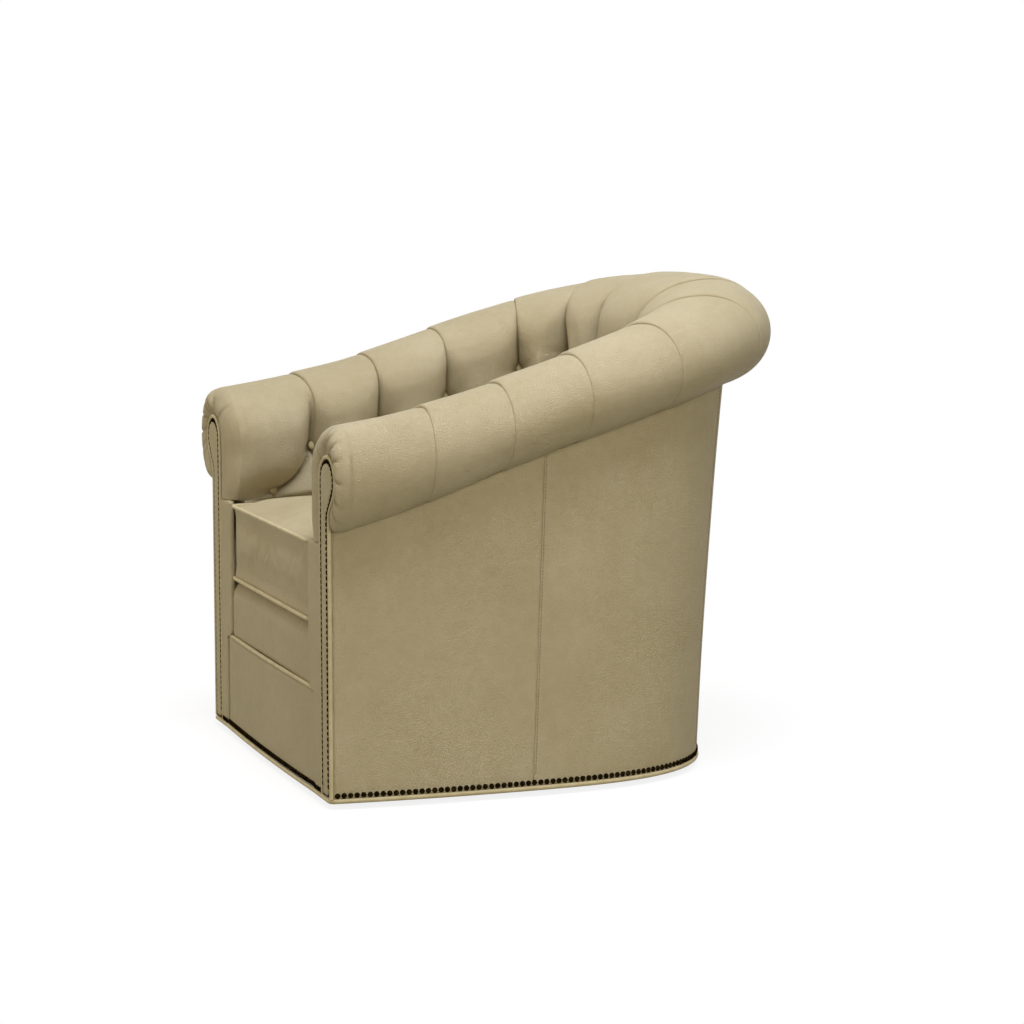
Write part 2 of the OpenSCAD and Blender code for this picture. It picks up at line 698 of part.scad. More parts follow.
module front_border() color("#b5a87c") {
  h = cushion_bottom - fit_gap - border_bottom;
  t = rail_front - fit_gap;
  y0 = border_front + 6;
  translate([-arm_inner_x + fit_gap, -origin_y, border_bottom]) rotate([90, 0, 90])
    linear_extrude(height = 2 * (arm_inner_x - fit_gap))
      polygon(concat([[t, 0], [t, h]], [for (i = [0:8]) let (s = 1 - i / 8) [t - (t - y0) * pow(sin(20 + 140 * s), 0.6), h * s]]));
}

module front_panel() color("#a79a6e") {
  back = board_front - fit_gap;
  translate([0, -origin_y, facing_bottom]) linear_extrude(height = front_welt_h - welt_d / 2 - facing_bottom)
    polygon(concat([[panel_half_w, back], [-panel_half_w, back]],
      [for (i = [0:16]) let (s = i / 8 - 1) [s * panel_half_w, -panel_bow * (1 - s * s) + 1]]));
}

module front_welt() color("#c4b78c")
  path_tube([for (i = [0:16]) let (s = i / 8 - 1)
    [s * panel_half_w, -panel_bow * (1 - s * s) + 1 + welt_d / 2 - origin_y, front_welt_h]], welt_d);

module bottom_welt() color("#c4b78c") {
  n = 2;
  z = skirt_gap + welt_d / 2;
  path = concat(
    [for (i = [0:8]) let (s = i / 4 - 1) [s * (front_half_w - 2), -panel_bow * (1 - s * s) - origin_y, z]],
    [for (i = [0:56]) at(welt_u + (2 - 2 * welt_u) * i / 56, n, z)]);
  loop_tube(path, welt_d);
}

// Outside panels

function panel_top_h(u) = roll_under_h(max(0, u - tilt(u, roll_under_h(u))));

module outside_panel(u0, u1, steps) {
  shell_board(u0, u1, 0, -panel_t, steps,
    function (u) facing_bottom, function (u) panel_top_h(share(u)) - 3 * fit_gap);
}

module outside_arm_right() color("#a09368") outside_panel(panel_u, side_seam_u - seam_gap_u, 8);
module outside_arm_left() color("#a09368") mirrored() outside_panel(panel_u, side_seam_u - seam_gap_u, 8);
module outside_corner_right() color("#a09368") outside_panel(side_seam_u, back_seam_u - seam_gap_u, 24);
module outside_corner_left() color("#a09368") mirrored() outside_panel(side_seam_u, back_seam_u - seam_gap_u, 24);
module outside_back() color("#a09368") outside_panel(back_seam_u, 2 - back_seam_u, 24);

// Buttoned lining with the pleated roll

// Rows of the inside face, from its foot up to the middle of the roll
function up_button_h(u) = roll_mid_h(u) - button_below;
function low_button_z(u) = low_button_h + low_button_rise * (1 - cos(180 * share(u))) / 2;
function row_h(u, i) =
  let (a = low_button_z(u), b = up_button_h(u))
  i == 0 ? puff_bottom : i == 1 ? a : i == 2 ? (a + b) / 2 : i == 3 ? b : (b + roll_mid_h(u)) / 2;
// Depth of the buttons' valley at a row, before the puffs
function valley_n(u, i) =
  let (s = i / 5, roll_n = roll_crest(u) - roll_in)
  -lining_t + 2 + (lining_t - 2 + roll_n) * pow(s, 2.2);
// How full the padding is: kind 0 at a pleat, 1 over a lower button, 0.5 between them
function fullness(kind, i) =
  kind == 0 ? [0.7, 1, 0.75, 0, 0.1][i]
  : kind == 1 ? [0.1, 0, 0.6, 1, 0.8][i]
  : [0.6, 0.6, 0.25, 0.7, 0.7][i];

// Outline of the lining at u, as points of offset and height, from its foot over the roll to the outside
function skin(u, kind) =
  let (zc = roll_mid_h(u), b = roll_b(u), c = roll_crest(u), out = roll_out(u) - c, g = kind == 0 ? pleat_groove : 0,
       low = roll_under_angle(u))
  concat(
    [for (i = [0:4]) [valley_n(u, i) - puff * fullness(kind, i), row_h(u, i)]],
    [for (a = [180:-22.5:0.1]) [c + (a > 90 ? roll_in - g : out - g) * cos(a), zc + (b - g) * sin(a)]],
    [for (k = [0:3]) let (a = low * k / 3) [c + (out - g) * cos(a), zc + (b - g) * sin(a)]]);
// The inside of the padding, round the top rail, with as many points
function core(u) =
  let (zt = rail_low_h(u) + top_rail_h + 2 * fit_gap, zu = roll_under_h(u), n0 = lining_n, n1 = frame_n + 2)
  concat(
    [for (i = [0:4]) [n0, min(zt - 6, row_h(u, i))]],
    [for (k = [0:2]) [n0, zt - 5 + 2 * k]],
    [for (k = [0:3]) [n0 + (n1 - n0) * k / 3, zt]],
    [for (k = [0:4]) [n1, zt - 1 + (zu - zt + 1) * (k + 1) / 5]]);
// The edge of the scroll, which the end of the roll closes on
function scroll_edge(r, foot) =
  concat(
    [for (i = [0:4]) [scroll_out - scroll_rx(180, r), puff_bottom + (scroll_h - puff_bottom) * i / 5]],
    [for (a = [180:-22.5:0.1]) [scroll_out + scroll_rx(a, r) * cos(a), scroll_h + r * sin(a)]],
    [for (k = [0:3]) let (a = -45 * k / 3)
      k == 3 ? [facing_out_x - front_half_w + foot, scroll_foot_h - 4] : [scroll_out + r * cos(a), scroll_h + r * sin(a)]]);
// How far a point of a pleat lies behind the pleat's crest, as a share: the roll rises, and a pleat stands square to it
function rise(u) = let (h = 0.01) (roll_top(share(u) + h) - roll_top(max(0, share(u) - h))) / (2 * h * half_len);
function tilt(u, z) =
  let (top = roll_top(u), low = low_button_z(u), k = min(1, max(0, (z - puff_bottom) / (up_button_h(u) - puff_bottom))))
  0.5 * rise(u) * (top - max(z, up_button_h(u))) * k * min(1, share(u) / 0.05) / half_len;
function tilted(u, z) = u <= 1 ? min(1, u + tilt(u, z)) : max(1, u - tilt(u, z));
function ring_at(u, pts, dy = 0) = [for (p = pts) at(u, p[0], p[1]) + [0, dy, 0]];
function skin_ring(u, kind) = [for (p = skin(u, kind)) at(tilted(u, p[1]), p[0], p[1])];
function blend_pts(a, b, w) = [for (i = [0:len(a) - 1]) a[i] + (b[i] - a[i]) * w];
function flip(p) = [for (i = [len(p) - 1:-1:0]) p[i]];
function lining_ring(u, kind) = concat(skin_ring(u, kind), ring_at(u, flip(core(u))));
// One ring of the roll's end, whose last point stays behind the welt of the facing
function end_ring(w, y_skin, y_core) =
  let (p = blend_pts(scroll_edge(scroll_r + 2, 2), skin(0, 1), w), last = len(p) - 1)
  concat(
    [for (i = [0:last]) at(0, p[i][0], p[i][1]) + [0, i < last ? y_skin : facing_t + 1, 0]],
    ring_at(0, flip(scroll_edge(scroll_r - 2, -3)), y_core));

// Stations along the lining, each with the kind of its padding
function stations(list) =
  [for (i = [0:len(list) - 2]) let (a = list[i], b = list[i + 1], m = (a[0] + b[0]) / 2)
    each [a, [m, 0.5]]];
half_marks = [for (i = [0:5]) each [[low_shares[i], 1], [pleat_shares[i], 0]]];
arm_marks = [for (m = half_marks) if (m[0] <= lining_split + eps) m];
back_half = [for (m = half_marks) if (m[0] >= lining_split - eps) m];
back_marks = concat(back_half, [[1, 1]], [for (i = [len(back_half) - 1:-1:0]) [2 - back_half[i][0], back_half[i][1]]]);

module lining_foot(u0, u1, steps, z) {
  shell_board(u0, u1, lining_n, -lining_t, steps,
    function (u) z, function (u) puff_bottom + 1);
}

module inside_arm() {
  last = [[lining_split - rail_gap_u, 0]];
  loft(concat(
    [end_ring(0, 2.5, facing_t + 1.5), end_ring(0.3, -roll_nose * 0.75, facing_t + 2.5), end_ring(0.6, -roll_nose, 10), end_ring(0.92, -roll_nose * 0.4, 14)],
    [concat(ring_at(0, skin(0, 1), 14), ring_at(0, flip(scroll_edge(scroll_r - 2, -3)), post_front - 0.2))],
    [for (m = stations(concat([[post_front / half_len, 1]], arm_marks)))
      if (m[0] < lining_split - 0.01) lining_ring(m[0], m[1])],
    [for (m = last) lining_ring(m[0], m[1])]));
  lining_foot(rail_front / half_len, lining_split - rail_gap_u, 12, seat_frame_h + fit_gap);
}

module inside_arm_right() color("#c8bb92") inside_arm();
module inside_arm_left() color("#c8bb92") mirrored() inside_arm();

module inside_back() color("#c8bb92") {
  loft(concat([for (m = stations(back_marks)) lining_ring(m[0], m[1])], [lining_ring(2 - lining_split, 0)]));
  lining_foot(lining_split, 2 - lining_split, 24, deck_bottom);
}

module covered_button() {
  rotate_extrude($fn = 24) polygon([[0, 0], [button_d / 2 - 1, 0], [button_d / 2, 1.2], [button_d / 2 - 1.5, 3.2], [button_d / 4, 4.4], [0, 4.8]]);
}

module button_row(shares, height, row) {
  for (t = shares, s = [1, -1]) if (t < 1 || s > 0) {
    u = s > 0 ? t : 2 - t;
    d = plan_out(u);
    p = at(tilted(u, height(u)), valley_n(u, row) - 2.5, height(u));
    translate(p) rotate([0, -90, atan2(d.y, d.x)]) covered_button();
  }
}

module upper_buttons() color("#b8ab80") button_row(pleat_shares, function (u) up_button_h(u), 3);
module lower_buttons() color("#b8ab80") button_row(low_shares, function (u) low_button_z(u), 1);

// Loose seat cushion, which slides out to the front

function cushion_outline(f, z) =
  let (w = cushion_half_w - welt_d / 2, fy = cushion_front + welt_d / 2 - origin_y,
    cy = swivel_y * 0.85 - origin_y,
    rim = [for (i = [0:30]) let (u = cushion_u + (2 - 2 * cushion_u) * i / 30, p = at(u, -lining_t - 2 - welt_d / 2, cushion_bottom))
      [sign(p.x) * min(abs(p.x), w), p.y]],
    front = [for (i = [0:8]) let (x = -w + 2 * w * i / 8) [x, fy + (abs(x) > w - 1 ? 4 : 0)]],
    all = concat(rim, front))
  [for (p = all) [p.x * (1 - f), cy + (p.y - cy) * (1 - f), z]];

module seat_cushion() color("#b5a87c") {
  draw = cushion_draw / cushion_half_w;
  edge = welt_d / 2 / cushion_half_w * 1.15;
  low = cushion_bottom + welt_d / 2;
  levels = concat(
    [[0.9, cushion_bottom], [edge + 0.02, cushion_bottom]],
    [[edge, low], [edge + draw / 2, low + 25], [edge + draw, (low + seat_h) / 2], [edge + draw / 2, seat_h - 25], [edge, seat_h]],
    [for (f = [0.03, 0.08, 0.18, 0.35, 0.6, 0.9]) [f, seat_h + cushion_crown * (1 - pow(1 - f, 4))]]);
  stack([for (l = levels) cushion_outline(l[0], l[1])]);
}

// Solid between closed rings, one over the other, with a flat fan at each end
module stack(rings) {
  m = len(rings[0]);
  k = len(rings);
  c0 = mean(rings[0]);
  c1 = mean(rings[k - 1]);
  sides = [for (i = [0:k - 2], j = [0:m - 1])
    let (a = i * m + j, b = i * m + (j + 1) % m, c = a + m, d = b + m) each [[a, c, b], [b, c, d]]];
  ends = [for (j = [0:m - 1]) each [[j, (j + 1) % m, k * m], [(k - 1) * m + (j + 1) % m, (k - 1) * m + j, k * m + 1]]];
  polyhedron(concat([for (r = rings) each r], [c0, c1]), concat(sides, ends), convexity = 4);
}
function mean(p, i = 0, s = [0, 0, 0]) = i == len(p) ? s / len(p) : mean(p, i + 1, s + p[i]);

module cushion_welt(z) {
  loop_tube(cushion_outline(0, z), welt_d);
}

module cushion_welt_top() color("#c4b78c") cushion_welt(seat_h);
module cushion_welt_bottom() color("#c4b78c") cushion_welt(cushion_bottom + welt_d / 2);

// What is drawn
floor_glides();
plinth_board();
lower_swivel_plate();
lower_plate_screws();
swivel_rivet();
bearing_balls();
ball_retainer();
upper_swivel_plate();
upper_plate_bolts();
cross_rail_front();
cross_rail_back();
bottom_rail_front();
bottom_rail_left();
bottom_rail_right();
bottom_rail_back();
seat_frame();
front_rail();
arm_post_left();
arm_post_right();
side_uprights();
back_uprights();
top_rail();
scroll_board_left();
scroll_board_right();
corner_blocks();
seat_springs();
spring_clips();
deck_pad();
back_webbing();
dust_cover();
inside_arm_left();
inside_arm_right();
inside_back();
upper_buttons();
lower_buttons();
outside_arm_left();
outside_arm_right();
outside_corner_left();
outside_corner_right();
outside_back();
arm_facing_left();
arm_facing_right();
facing_welt_left();
facing_welt_right();
arm_border_left();
arm_border_right();
front_border();
front_panel();
front_welt();
bottom_welt();
seat_cushion();
cushion_welt_top();
cushion_welt_bottom();
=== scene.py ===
import math

import bpy
import numpy as np
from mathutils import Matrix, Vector

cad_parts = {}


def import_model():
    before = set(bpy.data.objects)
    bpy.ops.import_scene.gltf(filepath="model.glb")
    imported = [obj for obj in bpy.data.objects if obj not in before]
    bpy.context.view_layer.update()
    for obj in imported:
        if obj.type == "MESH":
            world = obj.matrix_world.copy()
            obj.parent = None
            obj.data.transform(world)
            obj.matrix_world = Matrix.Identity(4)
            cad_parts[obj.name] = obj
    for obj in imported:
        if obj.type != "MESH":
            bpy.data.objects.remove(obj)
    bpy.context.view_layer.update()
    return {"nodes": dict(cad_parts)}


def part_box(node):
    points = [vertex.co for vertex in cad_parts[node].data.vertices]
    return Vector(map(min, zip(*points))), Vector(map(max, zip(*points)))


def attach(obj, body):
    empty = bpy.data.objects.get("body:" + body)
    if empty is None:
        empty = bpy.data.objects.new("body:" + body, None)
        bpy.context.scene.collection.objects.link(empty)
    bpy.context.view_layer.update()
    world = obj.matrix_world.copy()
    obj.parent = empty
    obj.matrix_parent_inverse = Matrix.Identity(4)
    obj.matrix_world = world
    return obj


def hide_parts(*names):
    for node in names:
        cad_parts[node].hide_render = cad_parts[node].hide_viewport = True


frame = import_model()
bpy.ops.object.select_all(action="DESELECT")
NODES = frame["nodes"]

# Measures of the tub in metres

HEIGHT, FRONT_HALF, SHELL_HALF, ARM_LEN, BACK_DEPTH, SQUARE = 0.841, 0.367, 0.387, 0.336, 0.401, 2.96
LEAN = 0.06384 / (ARM_LEN + BACK_DEPTH) / HEIGHT
BACK_ROLL_OUT, BACK_ROLL_B, ARM_FRONT = 0.0895, 0.103, 0.013
LINING, FOOT, CORE_N, FRAME_N = 0.117, 0.431, -0.0298, -0.0063
SEAT_H, CUSHION_BOTTOM, WELT_R = 0.424, 0.290, 0.0035
SKIRT, FRONT_WELT_H, PANEL_HALF, PANEL_BOW = 0.010, 0.183, 0.281, 0.0045
PANEL_FOOT = SKIRT + 2 * WELT_R + 0.0003
FACE_IN, FACE_OUT, SCROLL_X, SCROLL_H, SCROLL_R, SCROLL_FOOT = 0.320, 0.374, 0.368, 0.537, 0.042, 0.485
INNER_X, SWIVEL_Y = FRONT_HALF - LINING, 0.395
SIDE_SEAM, BACK_SEAM = 0.345, 0.72
NAIL_PITCH, FACING_NAIL_PITCH = 0.0108, 0.0098
RIGHT, LEFT = 0, 1

# Places along the tub are shares of its half run, 0 at the front of an arm and 1 at the middle of the back.
# A pleat with its upper button stands at each of the first, a lower button at each of the second, side by side.
PLEATS = np.array([(0.150, 0.271, 0.392, 0.531, 0.706, 0.886), (0.145, 0.265, 0.391, 0.546, 0.720, 0.892)])
LOWS = np.array([(0.073, 0.210, 0.331, 0.461, 0.618, 0.796, 1.0), (0.072, 0.205, 0.328, 0.468, 0.633, 0.806, 1.0)])


def smooth(x, a=0.0, b=1.0):
    t = np.clip((x - a) / (b - a), 0, 1)
    return t * t * (3 - 2 * t)


def bell(x, width):
    return np.exp(-((x / width) ** 2))


def unit(v):
    return v / np.linalg.norm(v, axis=-1, keepdims=True)


def half_path():
    v = np.linspace(1, 0, 200)[:-1]
    side = np.stack([SHELL_HALF - (SHELL_HALF - FRONT_HALF) * v * v, ARM_LEN * (1 - v)], 1)
    a = np.linspace(0, math.pi / 2, 1200)
    r = (np.cos(a) ** SQUARE + np.sin(a) ** SQUARE) ** (-1 / SQUARE)
    back = np.stack([SHELL_HALF * r * np.cos(a), ARM_LEN + BACK_DEPTH * r * np.sin(a)], 1)
    return np.concatenate([side, back])


PATH = half_path()
RUN = np.concatenate([[0], np.cumsum(np.hypot(*np.diff(PATH, axis=0).T))])
HALF = RUN[-1]


def share(u):
    return np.where(u <= 1, u, 2 - u)


def plan(u):
    s = np.clip(share(u), 0, 1) * HALF
    return np.stack([np.where(u <= 1, 1, -1) * np.interp(s, RUN, PATH[:, 0]), np.interp(s, RUN, PATH[:, 1])], -1)


def outward(u):
    u = np.asarray(u, float)
    d = unit(plan(np.minimum(u + 0.012, 2)) - plan(np.maximum(u - 0.012, 0)))
    w = np.minimum(1, share(u) / 0.08)[..., None]
    v = np.stack([d[..., 1], -d[..., 0]], -1) * w
    v[..., 0] += np.where(u <= 1, 1, -1) * (1 - w[..., 0])
    return unit(v)


def along(t, values):
    knots, values = np.array([0, 0.3, 0.6, 1.0]), np.asarray(values)
    i = np.clip(np.searchsorted(knots, t, side="right") - 1, 0, 2)
    w = np.clip((t - knots[i]) / (knots[i + 1] - knots[i]), 0, 1)
    return values[i] + (values[i + 1] - values[i]) * (1 - np.cos(math.pi * w)) / 2


def hermite(a, b, ma, mb, u):
    return (a * (2 * u**3 - 3 * u * u + 1) + b * (3 * u * u - 2 * u**3)
            + ma * (u**3 - 2 * u * u + u) + mb * (u**3 - u * u))


def rail_top(t):
    return np.where(t < 0.5, hermite(0.618, 0.768, 0.060, 0.1561, t * 2), hermite(0.768, 0.841, 0.1561, 0, t * 2 - 1))


def rail_mid(t):
    """Height of the top rail inside the roll."""
    return rail_top(t) - along(t, [0.0755, 0.072, 0.0775, 0.103])


def roll_top(t):
    return rail_top(t) + along(t, [0.0058, -0.0028, -0.0015, -0.0015])


def roll_b(t):
    return along(t, [0.0815, 0.0722, 0.0755, 0.0945])


def roll_out(t):
    return along(t, [0.0765, 0.0660, 0.0565, 0.0890])


def roll_in(t):
    return along(t, [0.0799, 0.0774, 0.0700, 0.0775])


def roll_crest(t):
    return along(t, [0.0139, -0.0300, -0.0355, -0.0084])


def roll_mid(t):
    return roll_top(t) - roll_b(t)


def roll_low(t):
    return -np.arccos((0.0003 - roll_crest(t)) / (roll_out(t) - roll_crest(t)))


# The frame's origin lies halfway between the front of the arms and the back of the roll
ORIGIN_Y = float((ARM_LEN + BACK_DEPTH + BACK_ROLL_OUT) * (1 + LEAN * (HEIGHT - BACK_ROLL_B)) - ARM_FRONT) / 2


def at(u, n, z):
    u, n, z = np.broadcast_arrays(np.asarray(u, float), n, z)
    q = plan(u) + outward(u) * n[..., None]
    return np.stack([q[..., 0], q[..., 1] * (1 + LEAN * z) - ORIGIN_Y, z], -1)


def up_button(t):
    return roll_mid(t) - 0.048


def low_button(t):
    return 0.446 + 0.085 * (1 - np.cos(math.pi * t)) / 2


def tilt(t, z):
    """How far a pleat leans back as it comes down, as the roll rises towards the back."""
    h = 0.01
    rise = (rail_top(t + h) - rail_top(np.maximum(t - h, 0))) / (2 * h * HALF)
    up = up_button(t)
    k = np.clip((z - FOOT) / (up - FOOT), 0, 1) * along(t, [0.01, 0.26, 0.93, 1.50])
    return 0.5 * rise * (roll_top(t) - np.maximum(z, up)) * k / HALF


# General ways of making a mesh


def placed(name, data):
    """A new object of the scene."""
    obj = bpy.data.objects.new(name, data)
    bpy.context.scene.collection.objects.link(obj)
    return obj


def mesh_piece(name, verts, faces, fold=None):
    """A smooth mesh; fold is how deep in a pleat or crease each of its points lies, which the hide darkens as painted
    shade.
    """
    mesh = bpy.data.meshes.new(name)
    mesh.from_pydata(np.asarray(verts).reshape(-1, 3).tolist(), [], [tuple(int(i) for i in f) for f in faces])
    mesh.validate()
    if fold is not None:
        mesh.attributes.new("fold", "FLOAT", "POINT").data.foreach_set("value", np.asarray(fold, "f").ravel())
    obj = placed(name, mesh)
    mesh.polygons.foreach_set("use_smooth", [True] * len(mesh.polygons))
    return obj


def ring_faces(k, m, closed=False):
    """Quads between k rings of m points, each ring closed; closed also joins the last ring to the first."""
    i = np.arange(k if closed else k - 1)[:, None]
    j = np.arange(m)[None, :]
    i2, j2 = (i + 1) % k, (j + 1) % m
    return np.stack([i * m + j, i * m + j2, i2 * m + j2, i2 * m + j], -1).reshape(-1, 4).tolist()


def solid_faces(k, m):
    """Faces of a solid through k rings of m points, with its two ends."""
    return ring_faces(k, m) + [list(range(m))[::-1], list(range((k - 1) * m, k * m))]


def solid(name, rings, fold=None):
    rings = np.asarray(rings)
    return mesh_piece(name, rings, solid_faces(*rings.shape[:2]), fold)


def coordinates(mesh):
    xyz = np.empty(len(mesh.vertices) * 3)
    mesh.vertices.foreach_get("co", xyz)
    return xyz.reshape(-1, 3)


def turn_over(obj):
    """Mirrors a piece to the other side of the tub."""
    obj.data.vertices.foreach_set("co", (coordinates(obj.data) * (-1, 1, 1)).ravel())
    obj.data.flip_normals()


def select_only(obj):
    bpy.ops.object.select_all(action="DESELECT")
    obj.select_set(True)
    bpy.context.view_layer.objects.active = obj


def dress(obj, finish, node, body="chair"):
    """Gives a piece its finish and body, and hides the node that it stands for."""
    obj.data.materials.clear()
    obj.data.materials.append(finish)
    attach(obj, body)
    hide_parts(node)


def dress_both(obj, finish, node):
    """Dresses a piece of the right side and its mirrored twin on the left."""
    dress(obj, finish, node + "_right")
    twin = placed(obj.name.replace("_right", "_left"), obj.data.copy())
    twin.data.name = twin.name
    turn_over(twin)
    dress(twin, finish, node + "_left")


def trim(obj, finish):
    """Small trim of the chair, which stands for no node."""
    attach(obj, "chair")
    obj.data.materials.append(finish)


# Finishes


class Wire:
    """An output of a node, on which sums are written as Python."""

    def __init__(self, graph, socket):
        self.graph, self.socket = graph, socket

    def math(self, operation, *values, clamp=False):
        return self.graph.add("ShaderNodeMath", {"operation": operation, "use_clamp": clamp}, values)

    def __add__(self, other):
        return self.math("ADD", self, other)

    def __sub__(self, other):
        return self.math("SUBTRACT", self, other)

    def __rsub__(self, other):
        return self.math("SUBTRACT", other, self)

    def __mul__(self, other):
        return self.math("MULTIPLY", self, other)

    def clamp(self):
        return self.math("ADD", self, 0.0, clamp=True)


class Graph:
    """A tree of shading nodes."""

    def __init__(self, tree):
        self.tree = tree

    def add(self, kind, settings, values=(), out=0):
        """A new node with its settings and inputs, as the wire of one of its outputs."""
        node = self.tree.nodes.new(kind)
        for key, value in settings.items():
            if key == "stops":
                ramp = node.color_ramp
                while len(ramp.elements) < len(value):
                    ramp.elements.new(1.0)
                for element, (position, colour) in zip(ramp.elements, value):
                    element.position, element.color = position, (*colour, 1)
            else:
                setattr(node, key, value)
        for key, value in values.items() if isinstance(values, dict) else enumerate(values):
            socket = node.inputs[key]
            if isinstance(value, Wire):
                self.tree.links.new(value.socket, socket)
            else:
                socket.default_value = value
        return Wire(self, node.outputs[out])


class Finish(Graph):
    """One material and the nodes that make it."""

    def __init__(self, name, roughness, metallic=0.0, **constants):
        self.material = bpy.data.materials.new(name)
        self.material.use_nodes = True
        super().__init__(self.material.node_tree)
        self.shader = self.tree.nodes["Principled BSDF"]
        for key, value in {"Roughness": roughness, "Metallic": metallic, **constants}.items():
            self.shader.inputs[key.replace("_", " ")].default_value = value
        self.place = self.add("ShaderNodeTexCoord", {}, (), "Object")

    def noise(self, scale, detail=3.0, rough=0.5, place=None, distortion=0.0):
        values = {"Vector": place or self.place, "Scale": scale, "Detail": detail}
        return self.add("ShaderNodeTexNoise", {}, {**values, "Roughness": rough, "Distortion": distortion}, "Fac")

    def cells(self, scale):
        values = {"Vector": self.place, "Scale": scale, "Randomness": 1.0}
        return self.add("ShaderNodeTexVoronoi", {"feature": "DISTANCE_TO_EDGE"}, values, "Distance")

    def wave(self, axis, scale, distortion, profile="SIN"):
        settings = {"bands_direction": axis, "wave_profile": profile}
        values = {"Vector": self.place, "Scale": scale, "Distortion": distortion}
        return self.add("ShaderNodeTexWave", settings, values, "Fac")

    def stretched(self, scale):
        return self.add("ShaderNodeMapping", {}, {"Vector": self.place, "Scale": scale})

    def ramp(self, value, *stops):
        """Colours of 0 to 255 at their places in the range of value."""
        return self.add("ShaderNodeValToRGB", {"stops": [(at, srgb(*tint)) for at, tint in stops]}, (value,), "Color")

    def mix(self, factor, a, b):
        return self.add("ShaderNodeMix", {"data_type": "RGBA"}, {0: factor, 6: a, 7: b}, 2)

    def bump(self, height, distance):
        return self.add("ShaderNodeBump", {}, {"Height": height, "Distance": distance, "Strength": 1.0}, "Normal")

    def feed(self, **wires):
        for key, wire in wires.items():
            self.tree.links.new(wire.socket, self.shader.inputs[key.replace("_", " ")])
        return self.material


def srgb(r, g, b):
    return [((c / 255 + 0.055) / 1.055) ** 2.4 if c > 10 else c / 3295 for c in (r, g, b)]


def rgba(r, g, b):
    return (*srgb(r, g, b), 1)


def hide_finish(name, tint, grain=1.0):
    """Pale pebbled upholstery hide; fold is how deep in a pleat or seam a point lies, and darkens the hide there as
    painted shade.
    """
    f = Finish(name, roughness=0.46, Specular_IOR_Level=0.05)
    r, g, b = tint
    shade = f.noise(7.0, 3.0, 0.55)
    fine = f.noise(60.0, 4.0, 0.6)
    base = f.ramp(shade * 0.65 + fine * 0.35, (0.3, (r - 9, g - 10, b - 13)), (0.7, (r + 5, g + 5, b + 6)))
    pebble = f.cells(390.0)
    valley = (1 - pebble * 7.0).clamp()
    depth = f.add("ShaderNodeAttribute", {"attribute_name": "fold"}, (), "Fac")
    base = f.mix(valley * 0.16, base, rgba(r * 0.70, g * 0.66, b * 0.58))
    # Painted shade: the hide turns dark brown where the fold attribute says a point lies deep in a crease, pleat, seam
    # or button pit.
    base = f.mix(depth.clamp() * 0.50, base, rgba(r * 0.46, g * 0.41, b * 0.32))
    wrinkle = f.noise(38.0, 5.0, 0.62, f.stretched((1, 1, 2.4)), 0.6)
    height = (pebble * 5.0).clamp() * 0.8 + f.noise(900.0, 2.0) * 0.2 + wrinkle * 0.25
    rough = shade * 0.12 + valley * 0.14 + 0.40
    return f.feed(Base_Color=base, Roughness=rough, Normal=f.bump(height, 0.0012 * grain))


def piping_finish():
    f = Finish("Piping hide", roughness=0.46, Specular_IOR_Level=0.05)
    base = f.ramp(f.noise(55.0, 4.0, 0.6), (0.3, (180, 167, 128)), (0.7, (198, 185, 148)))
    height = f.noise(420.0, 3.0, 0.6) * 0.7 + f.noise(90.0, 3.0) * 0.6
    return f.feed(Base_Color=base, Roughness=f.noise(30.0) * 0.2 + 0.36, Normal=f.bump(height, 0.0004))


def nail_finish():
    f = Finish("Antique nail", roughness=0.42, Specular_IOR_Level=0.0)
    wear_and_glint = f.noise(160.0, 3.0, 0.6)
    # The brightest copper stop is a painted glint that stands in for the nails' highlights, scattered by the noise
    # together with worn patches.
    base = f.ramp(wear_and_glint, (0.45, (20, 15, 6)), (0.66, (48, 36, 18)), (0.82, (128, 92, 60)))
    return f.feed(Base_Color=base, Roughness=wear_and_glint * 0.3 + 0.3, Normal=f.bump(f.noise(700.0), 0.00008))


def wood_finish(name, pale, dark, plies=False):
    f = Finish(name, roughness=0.6)
    place = f.stretched((3, 40, 40))
    streak = f.noise(2.2, 6.0, 0.62, place, 0.4)
    base = f.ramp(streak, (0.32, dark), (0.68, pale))
    if plies:
        r, g, b = dark
        base = f.mix(f.wave("Z", 110.0, 0.4, "TRI") * 0.35, base, rgba(r * 0.75, g * 0.7, b * 0.62))
    pore = f.noise(14.0, 4.0, 0.7, place)
    return f.feed(Base_Color=base, Roughness=pore * 0.3 + 0.45, Normal=f.bump(pore + streak * 0.5, 0.0004))


def steel_finish(name, pale, dark, rough):
    f = Finish(name, roughness=rough, metallic=1.0)
    cloud = f.noise(45.0, 4.0, 0.6)
    scratch = f.noise(30.0, 4.0, 0.7, f.stretched((1, 18, 1)))
    base = f.ramp(cloud * 0.6 + scratch * 0.4, (0.3, dark), (0.7, pale))
    return f.feed(Base_Color=base, Roughness=scratch * 0.25 + rough - 0.12, Normal=f.bump(scratch, 0.00006))


def nylon_finish():
    f = Finish("Matt nylon", roughness=0.55)
    base = f.ramp(f.noise(25.0), (0.3, (36, 36, 37)), (0.7, (50, 50, 51)))
    return f.feed(Base_Color=base, Roughness=f.noise(80.0) * 0.2 + 0.45, Normal=f.bump(f.noise(500.0), 0.00012))


def cloth_finish(name, pale, dark, pitch):
    f = Finish(name, roughness=0.9, Sheen_Weight=0.2)
    warp, weft, up = (f.wave(axis, 1 / pitch * 0.32, 0.6) for axis in "XYZ")
    weave = (warp + weft + up) * 0.33
    base = f.ramp(weave * 0.6 + f.noise(20.0) * 0.4, (0.25, dark), (0.75, pale))
    return f.feed(Base_Color=base, Normal=f.bump(weave, pitch * 0.3))


